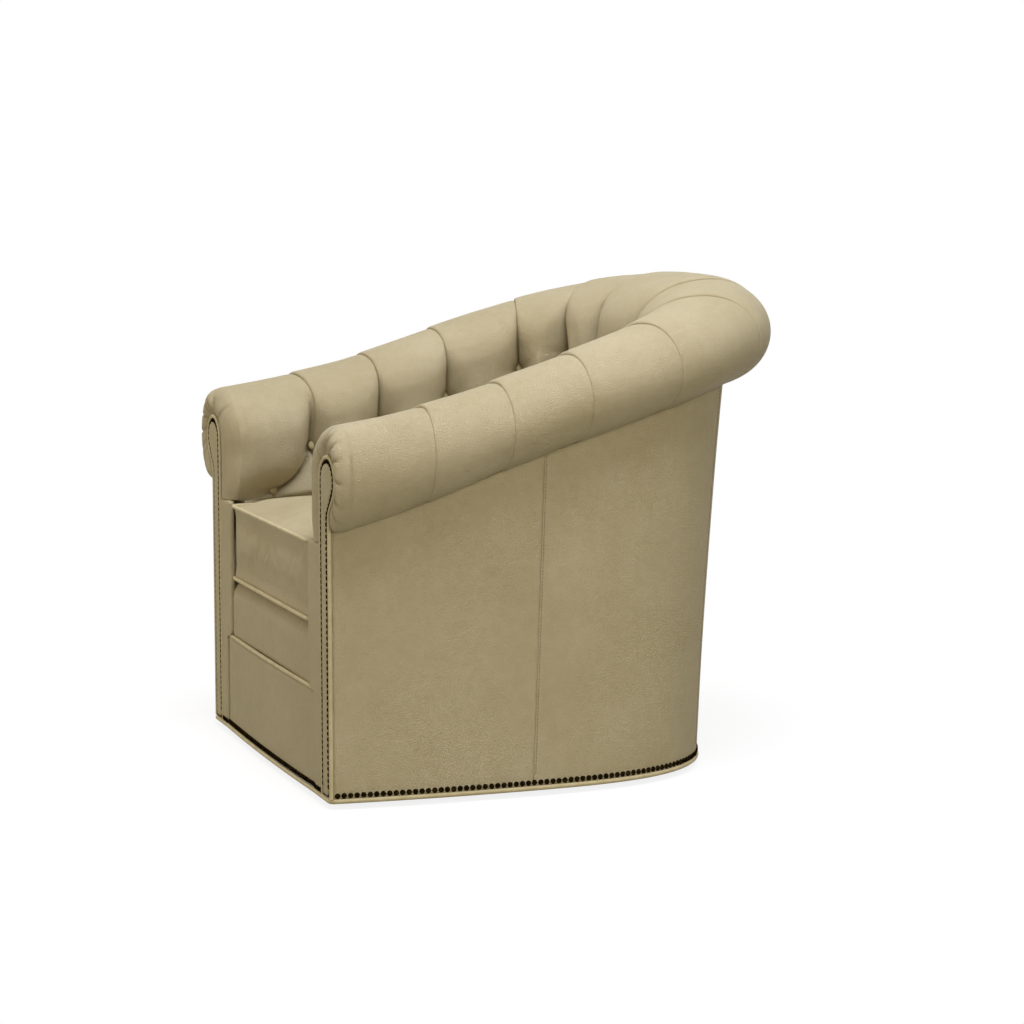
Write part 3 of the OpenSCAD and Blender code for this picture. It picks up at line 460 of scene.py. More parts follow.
ROLL_HIDE = hide_finish("Cream hide", (194, 182, 149))
PANEL_HIDE = hide_finish("Cream hide smooth panel", (193, 181, 147), 0.8)
PIPING = piping_finish()
NAIL = nail_finish()
PLYWOOD = wood_finish("Birch plywood", (203, 174, 132), (172, 138, 96), plies=True)
BEECH = wood_finish("Beech", (205, 172, 134), (176, 138, 100))
ZINC = steel_finish("Zinc plate", (205, 206, 204), (164, 166, 166), 0.34)
SPRING = steel_finish("Oil tempered wire", (92, 93, 97), (58, 59, 63), 0.4)
NYLON = nylon_finish()
FELT = cloth_finish("Calico over felt", (214, 204, 180), (188, 176, 150), 0.0012)
JUTE = cloth_finish("Jute webbing", (168, 140, 98), (126, 100, 64), 0.0025)
CAMBRIC = cloth_finish("Black cambric", (40, 40, 42), (22, 22, 24), 0.0009)
THREAD = cloth_finish("Seam thread", (96, 82, 54), (74, 62, 40), 0.0006)

# Buttoned lining with its pleated roll

# Across a pleat, in mm: place in the cloth, place as folded, how far the cloth is lifted; last, how deep it lies, which
# sets its painted shade
FOLD = np.array([
    (-13, -13, -0.1, 0), (-8, -8, -0.3, 0), (-5, -5, -0.6, 0), (-3, -3, -1.0, 0), (-1.6, -1.5, -1.4, 0),
    (-0.7, -0.5, -1.7, 0.2), (-0.1, 0, -1.7, 1), (0.3, 0, -1.2, 0.4), (0.8, 0.1, -0.1, 0), (1.5, 0.6, 1.0, 0),
    (2.6, 1.9, 1.8, 0), (4.4, 4.0, 2.3, 0), (7, 7, 2.4, 0)]) / (1000, 1000, 1000, 1)
LIP, SPLIT = 0.0024, 6  # height of a fold's lip, and the row of FOLD at which arm and back part
IN_ROWS, ROLL_ROWS, NOSE = 112, 104, 22  # rows up the inside and round the roll, columns of an arm's front end
GATHERS = np.radians([128, 68, 47, 22, -8, -36, -57])
LINING_START, COLUMN_STEP = 0.020, 0.0032
FRONT_DEPTH, ARM_PAD_FOOT, BACK_PAD_FOOT = 0.0245, 0.2503, 0.2584


def half_columns(side):
    """Columns of the lining from the front to the middle of the back: share, slip and lift of a fold, and the painted
    shade of its depth.
    """
    rows, pleats = [], PLEATS[side]
    edges = [LINING_START / HALF, *pleats, 1.0]
    for k in range(len(edges) - 1):
        last = k == len(pleats)
        a = edges[k] + (FOLD[-1, 0] / HALF if k else 0)
        b = edges[k + 1] + (0 if last else FOLD[0, 0] / HALF)
        n = max(4, round((b - a) * HALF / COLUMN_STEP))
        start, end = (LIP if k else 0.0005), (LIP * 0.6 if last else FOLD[0, 2])
        rows += [(a + (b - a) * i / n, 0.0, start + (end - start) * float(smooth(i / n)), 0.0) for i in range(n + 1)]
        if not last:
            rows += [(edges[k + 1] + flat / HALF, (fold - flat) / HALF, lift, deep)
                     for flat, fold, lift, deep in FOLD[1:-1]]
    return np.array(rows)


INSIDE_SHARES = np.linspace(0, 1, 1500)
INSIDE_PATH = plan(INSIDE_SHARES) - outward(INSIDE_SHARES) * 0.105
INSIDE_RUN = np.concatenate([[0], np.cumsum(np.hypot(*np.diff(INSIDE_PATH, axis=0).T))])


def inner_run(t):
    """Length along the inside face from the front; past the middle of the back it goes on, mirrored."""
    run = np.interp(share(t), INSIDE_SHARES, INSIDE_RUN)
    return np.where(t <= 1, run, 2 * INSIDE_RUN[-1] - run)


def spots(side):
    """Upper and lower buttons of one side as rows of run and height, from the front to just past the middle."""
    ups = (PLEATS[side][0] - 0.005, *PLEATS[side][1:], 2 - PLEATS[1 - side][-1])
    lows = (*LOWS[side], 2 - LOWS[1 - side][-2])
    return [[(float(inner_run(t)), float(height(share(t)))) for t in row]
            for row, height in ((ups, up_button), (lows, low_button))]


def zigzag(side):
    """The crease from button to button, up and down, bowed so that each upper puff is round below."""
    ups, lows = spots(side)
    points = [(-0.1, FOOT - 0.05), (lows[0][0] - 0.050, FOOT - 0.010), lows[0]]
    for up, low in zip(ups, lows[1:]):
        for a, b in ((points[-1], up), (up, low)):
            a, b = np.array(a), np.array(b)
            d = b - a
            bow = np.array([d[1], -d[0]])
            for w in np.linspace(0, 1, 13)[1:]:
                points.append(tuple(a + d * w + bow * 0.12 * math.sin(math.pi * w)))
    return np.array(points)


def distance(s, z, line):
    best = np.full(s.shape, 9.0)
    for (ax, az), (bx, bz) in zip(line, line[1:]):
        dx, dz = bx - ax, bz - az
        w = np.clip(((s - ax) * dx + (z - az) * dz) / (dx * dx + dz * dz), 0, 1)
        best = np.minimum(best, np.hypot(s - ax - w * dx, z - az - w * dz))
    return best


def rounded(d, reach):
    """Profile of a stuffed puff: steep at its crease, 1 where it is full at the distance reach."""
    return np.sqrt(1 - (1 - np.clip((np.hypot(d, 0.0015) - 0.0015) / reach, 0, 1)) ** 2)


def puff_at(t, z, side):
    """Where upper puffs are and how full, how far the lower ones stand out, how much painted shade a point gets deep in
    a crease, pits and pulls.
    """
    s = inner_run(t)
    ups, lows = spots(side)
    line = zigzag(side)
    d = distance(s, z, line)
    order = np.maximum.accumulate(line[:, 0])
    upper = z > np.interp(s, order, line[:, 1])
    full, low = rounded(d, 0.060) * rounded(s, 0.060), 0.027 * rounded(d, 0.045)
    # deep is painted shade along the creases and, below, in the button pits
    deep = bell(d, 0.0034) * 0.7
    for us, uz in ups:
        v = np.hypot(s - us, np.maximum(uz - z, 0))
        fade = 0.92 * bell(np.maximum(z - uz, 0), 0.105)
        soft = 0.026 * smooth(z - uz, 0.0, 0.06)
        full = full * (1 - fade * (1 - rounded(v, np.where(s < us, 0.026, 0.044) + soft)))
        deep = np.maximum(deep, bell(v, 0.0030))
    for ls, lz in lows:
        v = np.hypot(s - ls, np.maximum(z - lz, 0))
        low = low * rounded(v, np.where(s < ls, 0.025, 0.040))
        deep = np.maximum(deep, bell(v, 0.0026) * (z < lz))
    pit, pull = np.zeros(s.shape), np.zeros(s.shape)
    for i, (bs, bz) in enumerate(ups + lows):
        d = np.hypot(s - bs, z - bz)
        pit += bell(d, 0.0105)
        angle = np.arctan2(z - bz, s - bs)
        rays = np.cos(8 * angle + i * 1.3) + 0.6 * np.cos(13 * angle + i * 2.1)
        pull += np.exp(-d / 0.026) * smooth(d, 0.005, 0.018) * rays
    return upper, full, low, deep, pit, pull


def lining_surface(t, slip, lift, painted_shade, side):
    """Skin of the lining over columns t: share, offset, height and painted crease shade, from the foot over the roll to
    the outside.
    """
    t, slip, lift, painted_shade = (v[:, None] for v in (t, slip, lift, painted_shade))
    mid, b, crest, out, inner = roll_mid(t), roll_b(t), roll_crest(t), roll_out(t), roll_in(t)
    q = np.linspace(0, 1, IN_ROWS)[None, :] + 0 * t
    z = FOOT + (mid - FOOT) * q
    n = -0.110 + (0.110 + crest - inner) * smooth(q**1.5)
    a = math.pi + (roll_low(t) - math.pi) * np.linspace(0, 1, ROLL_ROWS + 1)[None, 1:]
    rx = np.where(a > math.pi / 2, inner, out - crest)
    en, ez = np.cos(a) / rx, np.sin(a) / b
    el = np.hypot(en, ez)
    above = np.concatenate([z - mid, b * (math.pi - a)], 1)
    angle = np.concatenate([np.full_like(q, math.pi), a], 1)
    n = np.concatenate([n, crest + rx * np.cos(a)], 1)
    z = np.concatenate([z, mid + b * np.sin(a)], 1)
    dn = np.concatenate([-np.ones_like(q), en / el], 1)
    dz = np.concatenate([np.zeros_like(q), ez / el], 1)
    # the fold stands up most over the crest of the roll and closes down to the upper button
    grow = 0.45 + 0.75 * bell(angle - math.radians(105), 0.75)
    grow = grow * smooth(above, -0.050, 0.020)
    upper, full, low, deep, pit, pull = puff_at(t + 0 * above, np.where(above < 0, z, mid + above), side)
    fade = 1 - smooth(above, -0.050, 0.048)
    # an upper puff is fullest at the middle of the roll and turns in again below it, most of all the front one
    rho = np.clip((mid - z) / (mid - FOOT + 0.010), 0, 1)
    turned = (0.030 + 0.050 * (1 - smooth(t * HALF, 0.045, 0.095))) * (1 - np.sqrt(1 - rho**2))
    swell = np.where(above < 0, 0.150 - turned + n, (0.150 + crest - inner) * np.clip(-np.cos(angle), 0, 1))
    k = np.clip((z - FOOT) / 0.024, 0, 1)
    foot = np.where(above < 0, np.sqrt(1 - (1 - k) ** 2), 1)
    puff = np.where(upper, full * swell, low * fade * foot)
    sag = 0.0016 * np.sin(math.pi * seam_share(t, side)) * bell(angle + 0.7, 0.6)
    front = np.exp(-t * HALF / 0.050) * 0.010 * smooth(-angle, 0.2, 1.0)
    front = front * smooth(angle, roll_low(t), roll_low(t) + 0.25)
    n = n + dn * (lift * grow + sag) - puff + 0.0065 * pit * fade * foot - 0.0008 * pull * fade * foot
    z = z + dz * (lift * grow + sag) - 0.20 * puff * fade * smooth(z, FOOT + 0.004, FOOT + 0.030) - front
    n = n + wrinkles(t, above, angle, side) * dn
    u = t + slip * grow
    u = u + tilt(u, np.minimum(z, roll_top(t)))
    # the last value is painted shade: dark in the pleats, creases and round the buttons
    return u, n, z, np.clip(painted_shade * np.minimum(grow, 1) + 0.7 * deep * fade + 0.5 * pit * fade, 0, 1)


def seam_share(t, side):
    """0 to 1 from one pleat to the next."""
    edges = np.array([0.0, *PLEATS[side], 2 - PLEATS[1 - side][-1]])
    i = np.clip(np.searchsorted(edges, t, side="right") - 1, 0, len(edges) - 2)
    return (t - edges[i]) / (edges[i + 1] - edges[i])


def wrinkles(t, above, angle, side):
    """Small slanting wrinkles of the hide on the outside of the roll, next to the pleats."""
    s = t * HALF
    w = seam_share(t, side)
    near = np.exp(-((1 - w) / 0.22)) + 0.7 * np.exp(-w / 0.16) * (t > PLEATS[side][0])
    band = smooth(angle, -0.9, -0.3) * smooth(-angle, -0.9, -0.2)
    wave = np.sin(s * 260 + above * 420 + 2.2 * np.sin(s * 61 + above * 37))
    wave = wave * np.sin(s * 95 - above * 110 + 1.7 * np.sin(above * 90))
    return 0.00035 * near * band * wave


def core_points(t, foot_z):
    """The inside of the padding at one column, round the top rail and down to the foot."""
    zt = float(rail_mid(t)) + 0.0156
    zu = float(roll_mid(t)) + float(roll_b(t)) * math.sin(float(roll_low(t)))
    n1 = FRAME_N + 0.002
    return [(n1, zu), (n1, (zu + zt) / 2), (n1, zt - 0.001), (-0.012, zt), (-0.022, zt), (CORE_N, zt),
            (CORE_N, zt - 0.012), (CORE_N, foot_z)]


def facing_edge(inset, step):
    """Edge of a scroll facing in x and z, drawn in by inset, from its outer foot over the scroll to its inner foot."""
    r = SCROLL_R - inset
    outer = [(FACE_OUT - inset, z) for z in np.linspace(PANEL_FOOT, SCROLL_FOOT - 0.012, 44)]
    neck = [(FACE_OUT + x - inset, SCROLL_FOOT + z) for x, z in ((0.0012, -0.004), (0.005, 0.004), (0.0115, 0.0105))]
    a = np.radians(np.arange(-38, 180.01, step))
    rx = np.where(a > math.pi / 2, r - SCROLL_R + SCROLL_X - FACE_IN, r)
    arc = list(zip(SCROLL_X + rx * np.cos(a), SCROLL_H + r * np.sin(a)))
    inner = [(FACE_IN + inset, z) for z in np.linspace(SCROLL_H - 0.012, PANEL_FOOT, 50)]
    return np.array(outer + neck + arc + inner)


def scroll_rows(roll_rows, in_rows, radius):
    """Where each row of the lining's end closes on the scroll, as offset and height."""
    inner_n = FACE_IN - FRONT_HALF - (radius - SCROLL_R)
    rows = [(inner_n, FOOT + 0.0006 + (SCROLL_H - FOOT) * k / (in_rows - 1)) for k in range(in_rows)]
    low = math.radians(-58)
    for k in range(1, roll_rows + 1):
        a = math.pi + (low - math.pi) * k / roll_rows
        rx = radius - SCROLL_R + SCROLL_X - FACE_IN if a > math.pi / 2 else radius
        rows.append((SCROLL_X - FRONT_HALF + rx * math.cos(a), SCROLL_H + radius * math.sin(a)))
    return np.array(rows)


END_GAP = 0.0018
END = scroll_rows(ROLL_ROWS, IN_ROWS, SCROLL_R + END_GAP)
# How far each row belongs to the straight edge below the scroll
STRIP = 1 - smooth(np.arange(IN_ROWS + ROLL_ROWS), IN_ROWS - 30, IN_ROWS + 12)


def nose_columns(n0, z0, dn, dz):
    """Front end of an arm: each row turns round the end of the roll and closes on the scroll.

    It meets the first column of the lining, n0 and z0, smoothly, at its slopes dn and dz.
    """
    rows = np.arange(IN_ROWS + ROLL_ROWS)
    turn = (float(roll_low(0.0)) - math.pi) * (rows - IN_ROWS + 1) / ROLL_ROWS
    angle = np.where(rows < IN_ROWS, math.pi, math.pi + turn)
    lobe = smooth(angle, math.radians(70), math.radians(112)) * (1 - STRIP)
    side = 1 - lobe - STRIP
    under = smooth(rows, IN_ROWS + ROLL_ROWS - 12, IN_ROWS + ROLL_ROWS - 1)
    first = 0.50 * side + 0.30 * lobe + 0.35 * STRIP
    y1 = -0.013 * side - 0.011 * lobe - 0.009 * STRIP
    y2 = -0.009 * side + 0.003 * lobe + 0.004 * STRIP
    crest = 0.0085 * bell(angle - math.radians(92), 0.15)
    out = []
    for k in range(NOSE):
        w = k / NOSE
        c = ((1 - w) ** 3, 3 * w * (1 - w) ** 2, 3 * w * w * (1 - w), w**3)
        y = 0.0028 * c[0] + y1 * c[1] + y2 * c[2] + LINING_START * c[3]
        y = y + (np.maximum(y, 0.004) - y) * under
        y = y + crest * bell(w, 0.6) * (1 - bell(w, 0.08))
        depth = (1 - bell(w, 0.06)) * (1 - float(smooth(w, 0.35, 1.0)))
        cut = sum(bell(angle - g - 0.10 * w, 0.040) for g in GATHERS) * depth * (1 - STRIP)
        n, z = (e * c[0] + (e + (p - e) * first) * c[1] + (p - d * (LINING_START - y2)) * c[2] + p * c[3]
                for e, p, d in ((END[:, 0], n0, dn), (END[:, 1], z0, dz)))
        n, z = n - 0.0030 * cut * np.cos(angle), z - 0.0030 * cut * np.sin(angle)
        # the last value paints shade into the gathers round the scroll
        out.append((n, y + 0.0026 * cut, z, np.clip(cut * 0.8, 0, 1)))
    return out


def lining_piece(name, t0, t1, sides):
    """A part of the lining between shares t0 and t1 of the tub; one that begins at the front closes on its scroll."""
    front = len(sides) == 1
    parts = []
    for side in sides:
        cols = half_columns(side)
        part = [cols[:, 0], *lining_surface(*cols.T, side)]
        if side == LEFT and not front:
            part = [v[::-1] for v in (2 - part[0], 2 - part[1], *part[2:])]
        parts.append(part)
    joined = [np.concatenate([p[i] if k == 0 else p[i][1:] for k, p in enumerate(parts)]) for i in range(5)]
    keep = (joined[0] >= t0 - 1e-9) & (joined[0] <= t1 + 1e-9)
    t, u, n, z, fold = (v[keep] for v in joined)
    if front:
        back = (np.clip(1 - (t * HALF - LINING_START) / 0.028, 0, 1) ** 2)[:, None]
        n = END[None, :, 0] + (n - END[None, :, 0]) * (1 - 0.04 * STRIP[None, :] * back)
    skin = at(u, n, z)
    rings, painted_shades = [], []

    # tint is the painted shade of a ring's face; its foot and core get none
    def add_ring(foot, face, core, tint):
        rings.append(np.concatenate([foot, face, core]))
        painted_shades.append(np.concatenate([np.zeros(4), tint, np.zeros(8)]))

    if front:
        core = scroll_rows(6, 2, SCROLL_R - END_GAP)[::-1]
        pitch = (t[2] - t[0]) * HALF
        for k, (nn, yy, zz, cut) in enumerate(nose_columns(n[0], z[0], (n[2] - n[0]) / pitch, (z[2] - z[0]) / pitch)):
            p = at(0, nn, zz)
            p[:, 1] += yy * (1 + LEAN * zz)
            c = at(0, core[:, 0], core[:, 1])
            c[:, 1] += 0.0076 + 0.0136 * k / (NOSE - 1)
            add_ring([c[-1] + (p[0] - c[-1]) * w + (0, 0, 0.0001) for w in (0.0, 0.3, 0.6, 0.9)], p, c, cut)
    for j in range(len(t)):
        # right at the front the padding ends at the lining's foot, and behind that it goes on down inside the frame
        short = front and t[j] * HALF < FRONT_DEPTH
        foot_z = FOOT + 0.0005 if short else (ARM_PAD_FOOT if front else BACK_PAD_FOOT)
        rise = 0.0 if short else FOOT - 0.0005 - foot_z
        core = np.array(core_points(float(share(t[j])), foot_z))
        foot = np.array([(CORE_N, 0), (-LINING, 0), (-LINING, rise * 0.5), (-LINING, rise * 0.985)]) + (0, foot_z)
        add_ring(at(t[j], foot[:, 0], foot[:, 1]), skin[j], at(t[j], core[:, 0], core[:, 1]), fold[j])
    return solid(name, rings, painted_shades)


splits = [PLEATS[side][3] + FOLD[SPLIT, 0] / HALF for side in (RIGHT, LEFT)]
right_lining = lining_piece("inside_arm_lining_right", 0.0, splits[RIGHT], [RIGHT])
left_lining = lining_piece("inside_arm_lining_left", 0.0, splits[LEFT], [LEFT])
turn_over(left_lining)
back_lining = lining_piece("inside_back_lining", splits[RIGHT], 2 - splits[LEFT], [RIGHT, LEFT])
dress(right_lining, ROLL_HIDE, "inside_arm_right")
dress(left_lining, ROLL_HIDE, "inside_arm_left")
dress(back_lining, ROLL_HIDE, "inside_back")

# Covered buttons, pressed into the lining

def fresh():
    """The primitive just added, in edit mode with nothing selected."""
    bpy.ops.object.mode_set(mode="EDIT")
    bpy.ops.mesh.select_mode(type="FACE")
    bpy.ops.mesh.select_all(action="DESELECT")
    return bpy.context.object


def pick_faces(obj, test):
    """Selects the faces of the edited mesh for which test(centre, normal) holds."""
    bpy.ops.object.mode_set(mode="OBJECT")
    for face in obj.data.polygons:
        face.select = bool(test(face.center, face.normal))
    bpy.ops.object.mode_set(mode="EDIT")


def taken(obj):
    """Vertices and faces of a model, which is then removed."""
    bpy.ops.object.mode_set(mode="OBJECT")
    verts = np.array([v.co[:] for v in obj.data.vertices])
    faces = [tuple(p.vertices) for p in obj.data.polygons]
    bpy.data.objects.remove(obj)
    return verts, faces


def domed(sides, radius, depth, steps):
    """A flat cylinder whose top is drawn up in steps of rise and growth, in edit mode with its top picked."""
    bpy.ops.mesh.primitive_cylinder_add(vertices=sides, radius=radius, depth=depth, location=(0, 0, 0))
    obj = fresh()
    pick_faces(obj, lambda c, n: n.z > 0.9)
    for rise, grow in steps:
        bpy.ops.mesh.extrude_region_move(TRANSFORM_OT_translate={"value": (0, 0, rise)})
        bpy.ops.transform.resize(value=(grow, grow, 1))
    return obj


def covered_button():
    obj = domed(14, 0.0066, 0.0030, ((0.0006, 1.16), (0.0012, 0.99), (0.0010, 0.84), (0.0005, 0.62)))
    bpy.ops.mesh.inset(thickness=0.0012, depth=0.0002)
    return taken(obj)


def stitch():
    bpy.ops.mesh.primitive_cube_add(size=0.001, location=(0, 0, 0))
    obj = fresh()
    bpy.ops.mesh.select_all(action="SELECT")
    bpy.ops.transform.resize(value=(0.6, 3.2, 0.5))
    for end in (1, -1):
        pick_faces(obj, lambda c, n: n.y * end > 0.9)
        bpy.ops.mesh.extrude_region_move(TRANSFORM_OT_translate={"value": (0, end * 0.0006, -0.0003)})
        bpy.ops.transform.resize(value=(0.5, 1, 0.5))
    return taken(obj)


def set_out(name, model, places, outs):
    """Copies of a model, each at its place with its own mesh, its top turned towards outs, as one piece."""
    verts, faces = model
    out = unit(np.asarray(outs, float))
    side = unit(np.cross(out, (0.0, 0.0, 1.0)))
    up = np.cross(side, out)
    places = np.asarray(places)
    every = (places[:, None] + verts[None, :, :1] * side[:, None] + verts[None, :, 1:2] * up[:, None]
             + verts[None, :, 2:] * out[:, None])
    count = len(verts)
    return mesh_piece(name, every, [tuple(v + k * count for v in f) for k in range(len(places)) for f in faces])


def button_places(rows, height, raised):
    """Places in the pits of the lining and the way each button looks, right side first."""
    places, outs = [], []
    for side, mirror in ((RIGHT, 1), (LEFT, -1)):
        for p in rows[side]:
            if p == 1 and side == LEFT:
                continue
            q = np.array([p])
            z = height(q)
            u, n, zz, _ = lining_surface(q, 0 * q, 0 * q, 0 * q, side)
            row = int(np.argmin(np.abs(zz[0, :IN_ROWS] - z[0])))
            spot = at(u[0, row], n[0, row] - raised, zz[0, row])
            d = outward(u[0, row])
            places.append(spot * (mirror, 1, 1))
            outs.append((-d[0] * mirror, -d[1], 0.10))
    return places, outs


BUTTON = covered_button()
for label, rows, height in (("upper", PLEATS, up_button), ("lower", LOWS, low_button)):
    buttons = set_out(label + "_covered_buttons", BUTTON, *button_places(rows, height, 0.0012))
    dress(buttons, PIPING, label + "_buttons")

# Outside of the tub


def under(t):
    return roll_mid(t) + roll_b(t) * np.sin(roll_low(t))


def panel_top(t):
    return under(np.maximum(0, t - tilt(t, under(t)))) - 0.0009


def panel_face(u, z):
    """How far the outside of the hide stands off the shell: drawn in between base and roll, dipped along each seam."""
    t = share(u)
    n = 0.0012 + 0.0007 * (1 - smooth(t, 0.0, 0.05))
    n = n - 0.0050 * smooth(t, 0.42, 0.66) * np.sin(math.pi * np.clip((z - 0.02) / 0.72, 0, 1))
    for seam, deep, wide in ((SIDE_SEAM, 0.0016, 0.0030), (BACK_SEAM, 0.0010, 0.0020)):
        n = n - deep * bell((t - seam) * HALF, wide)
    n = n + 0.0010 * bell((t - BACK_SEAM) * HALF - 0.0042, 0.0018)
    n = n + 0.0006 * np.sin(11.0 * t + 9.0 * z) * np.sin(5.0 * z + 2.0)
    return n - 0.0005 * (1 - smooth(z, 0.026, 0.036))


def outside_panel(name, u0, u1):
    k = round((u1 - u0) * HALF / 0.006)
    seams = [np.linspace(s - 0.012, s + 0.012, 17) for s in (SIDE_SEAM, BACK_SEAM, 2 - BACK_SEAM)]
    u = np.concatenate([np.linspace(u0, u1, k + 1)] + seams)
    u = np.unique(np.round(u[(u >= u0) & (u <= u1)], 6))
    top = panel_top(share(u))[:, None]
    z = PANEL_FOOT + (top - PANEL_FOOT) * np.linspace(0, 1, 70)[None, :]
    face = at(u[:, None], panel_face(u[:, None], z), z)
    back = at(u[:, None], -0.0058, np.concatenate([top, 0 * top + PANEL_FOOT], 1))
    return solid(name, np.concatenate([face, back], 1))


gap = 0.0002 / HALF
right = outside_panel("outside_arm_panel_right", 0.0048 / HALF, SIDE_SEAM - gap)
corner = outside_panel("outside_corner_panel_right", SIDE_SEAM + gap, BACK_SEAM - gap)
dress_both(right, PANEL_HIDE, "outside_arm")
dress_both(corner, PANEL_HIDE, "outside_corner")
back = outside_panel("outside_back_panel", BACK_SEAM + gap, 2 - BACK_SEAM - gap)
dress(back, PANEL_HIDE, "outside_back")

# Stitches down the seams of the outside

rows, outs = [], []
for seam in (SIDE_SEAM, BACK_SEAM, 2 - BACK_SEAM, 2 - SIDE_SEAM):
    u = np.full(1, seam + 0.0032 / HALF * (1 if seam < 1 else -1))
    for z in np.arange(0.040, float(panel_top(share(u))[0]) - 0.006, 0.0060):
        rows.append(at(u, panel_face(u, z) + 0.0001, z)[0])
        outs.append((*outward(u)[0], 0.0))
trim(set_out("seam_stitches", stitch(), rows, outs), THREAD)


# Piping


def piping(name, points, radius, closed=False):
    """A welt: a tube of hide along points."""
    curve = bpy.data.curves.new(name, "CURVE")
    curve.dimensions, curve.bevel_depth, curve.bevel_resolution, curve.use_fill_caps = "3D", radius, 3, True
    spline = curve.splines.new("POLY")
    spline.points.add(len(points) - 1)
    spline.points.foreach_set("co", np.concatenate([points, np.ones((len(points), 1))], 1).ravel())
    spline.use_cyclic_u = closed
    obj = placed(name, curve)
    select_only(obj)
    bpy.ops.object.convert(target="MESH")
    bpy.ops.object.shade_smooth()
    obj.select_set(False)
    return obj


def resampled(points, pitch, closed=False):
    p = np.asarray(points, float)
    if closed:
        p = np.concatenate([p, p[:1]])
    run = np.concatenate([[0], np.cumsum(np.linalg.norm(np.diff(p, axis=0), axis=1))])
    n = max(2, round(run[-1] / pitch))
    s = np.linspace(0, run[-1], n + 1)
    if closed:
        s = s[:-1]
    return np.stack([np.interp(s, run, p[:, i]) for i in range(p.shape[1])], 1)


def bow(x):
    return -PANEL_BOW * (1 - (x / PANEL_HALF) ** 2)


def in_front(x, y, z):
    """Points at x and z on the plane y in front of the tub, as rows."""
    return np.stack(np.broadcast_arrays(x, y - ORIGIN_Y, z), -1)


x = np.linspace(-FRONT_HALF + 0.002, FRONT_HALF - 0.002, 60)
path = np.concatenate([
    in_front(x, np.where(np.abs(x) < PANEL_HALF, bow(x), 0.0), 0.0), at(np.linspace(0.004, 1.996, 420), 0.0022, 0.0)])
path[:, 2] = SKIRT + WELT_R
dress(piping("bottom_welt_piping", resampled(path, 0.006, True), 0.0040, True), PIPING, "bottom_welt")
x = np.linspace(-PANEL_HALF + 0.001, PANEL_HALF - 0.001, 70)
welt = piping("front_welt_piping", in_front(x, bow(x) + 0.001 + 0.0030, FRONT_WELT_H), WELT_R)
dress(welt, PIPING, "front_welt")
edge = resampled(facing_edge(WELT_R, 4.0), 0.004)
dress_both(piping("facing_piping_right", in_front(edge[:, 0], 0.0012, edge[:, 1]), WELT_R), PIPING, "facing_welt")

# Scroll facings: a flat edge under the nails and a stuffed middle, each step an inset of the outline and its y

FACING_STEPS = (
    (0.0066, 0.0058), (0.0066, 0.0018), (0.0072, 0.0013), (0.0128, 0.0011), (0.0133, -0.0006), (0.0146, -0.0017),
    (0.0170, -0.0022), (0.0195, -0.0023))
rings = []
for inset, y in FACING_STEPS:
    edge = facing_edge(inset, 4.0)
    foot = PANEL_FOOT + (inset - FACING_STEPS[0][0]) * 0.6
    rings.append(in_front(edge[:, 0], y, np.maximum(edge[:, 1], foot)))
dress_both(solid("scroll_facing_right", rings), PANEL_HIDE, "arm_facing")

# Front of the arms and of the seat


def crowned(name, xs, zs, edges, y_mid, back, grid, rounds, bowed=None):
    """A stuffed panel between xs and zs that stands out to y_mid, with a plane back and grid points across and up.

    Its sides, foot and head are rounded back to edges over the widths in rounds.
    """
    (z0, z1), (nx, nz) = zs, grid
    z = (z0 + (z1 - z0) * (1 - np.cos(np.linspace(0, math.pi, nz))) / 2)[:, None]
    w = (1 - np.cos(np.linspace(0, math.pi, nx))) / 2
    xa, xb = (np.array([[x(float(v)) if callable(x) else x] for v in z[:, 0]]) for x in xs)
    x = xa + (xb - xa) * w[None, :]
    inwards = (np.minimum(x - xa, xb - x), z - z0, z1 - z)
    side, foot, head = (
        (1 - np.sqrt(1 - (1 - np.clip(d / reach, 0, 1)) ** 2)) * (edge - y_mid)
        for d, reach, edge in zip(inwards, rounds, edges))
    y = y_mid + np.maximum(np.hypot(side, foot), np.hypot(side, head))
    y = np.minimum(y, back - 0.0012)
    if bowed:
        y = y + bowed(x)
    return solid(name, np.concatenate([in_front(x, y, z), in_front(np.concatenate([xb, xa], 1), back, z)], 1))


def border_inner(z):
    rise = float(smooth(z, FRONT_WELT_H - 0.001, FRONT_WELT_H + 0.0045))
    return PANEL_HALF + 0.0004 + (INNER_X - PANEL_HALF) * rise


border = crowned(
    "arm_border_pad_right", (border_inner, FACE_IN - 0.0003), (PANEL_FOOT, FOOT - 0.0004), (0.0052, 0.0048, 0.0040),
    -0.0012, 0.0062, (23, 110), (0.003, 0.006, 0.006))
dress_both(border, PANEL_HIDE, "arm_border")
seat_border = crowned(
    "front_border_pad", (-INNER_X + 0.0003, INNER_X - 0.0003), (FRONT_WELT_H + 0.0020, CUSHION_BOTTOM - 0.0006),
    (0.0080, 0.0058, 0.0330), 0.0012, 0.0345, (70, 56), (0.010, 0.010, 0.036))
dress(seat_border, PANEL_HIDE, "front_border")
panel = crowned(
    "front_panel_pad", (-PANEL_HALF, PANEL_HALF), (PANEL_FOOT, FRONT_WELT_H - WELT_R), (0.0045, 0.0040, 0.0040),
    0.0012, 0.0068, (80, 50), (0.010, 0.008, 0.008), bow)
dress(panel, PANEL_HIDE, "front_panel")

# Nails

NAIL_HEAD = taken(domed(10, 0.0047, 0.0014, ((0.0009, 0.90), (0.0007, 0.78), (0.0004, 0.55))))
NAIL_H = 0.0225


def side_nails():
    u = np.linspace(0.012, 1.988, round(1.976 * HALF / NAIL_PITCH) + 1)
    z = np.full(u.shape, NAIL_H)
    d = outward(u)
    return at(u, panel_face(u, z) + 0.0002, z), np.stack([d[:, 0], d[:, 1], 0 * z], 1)


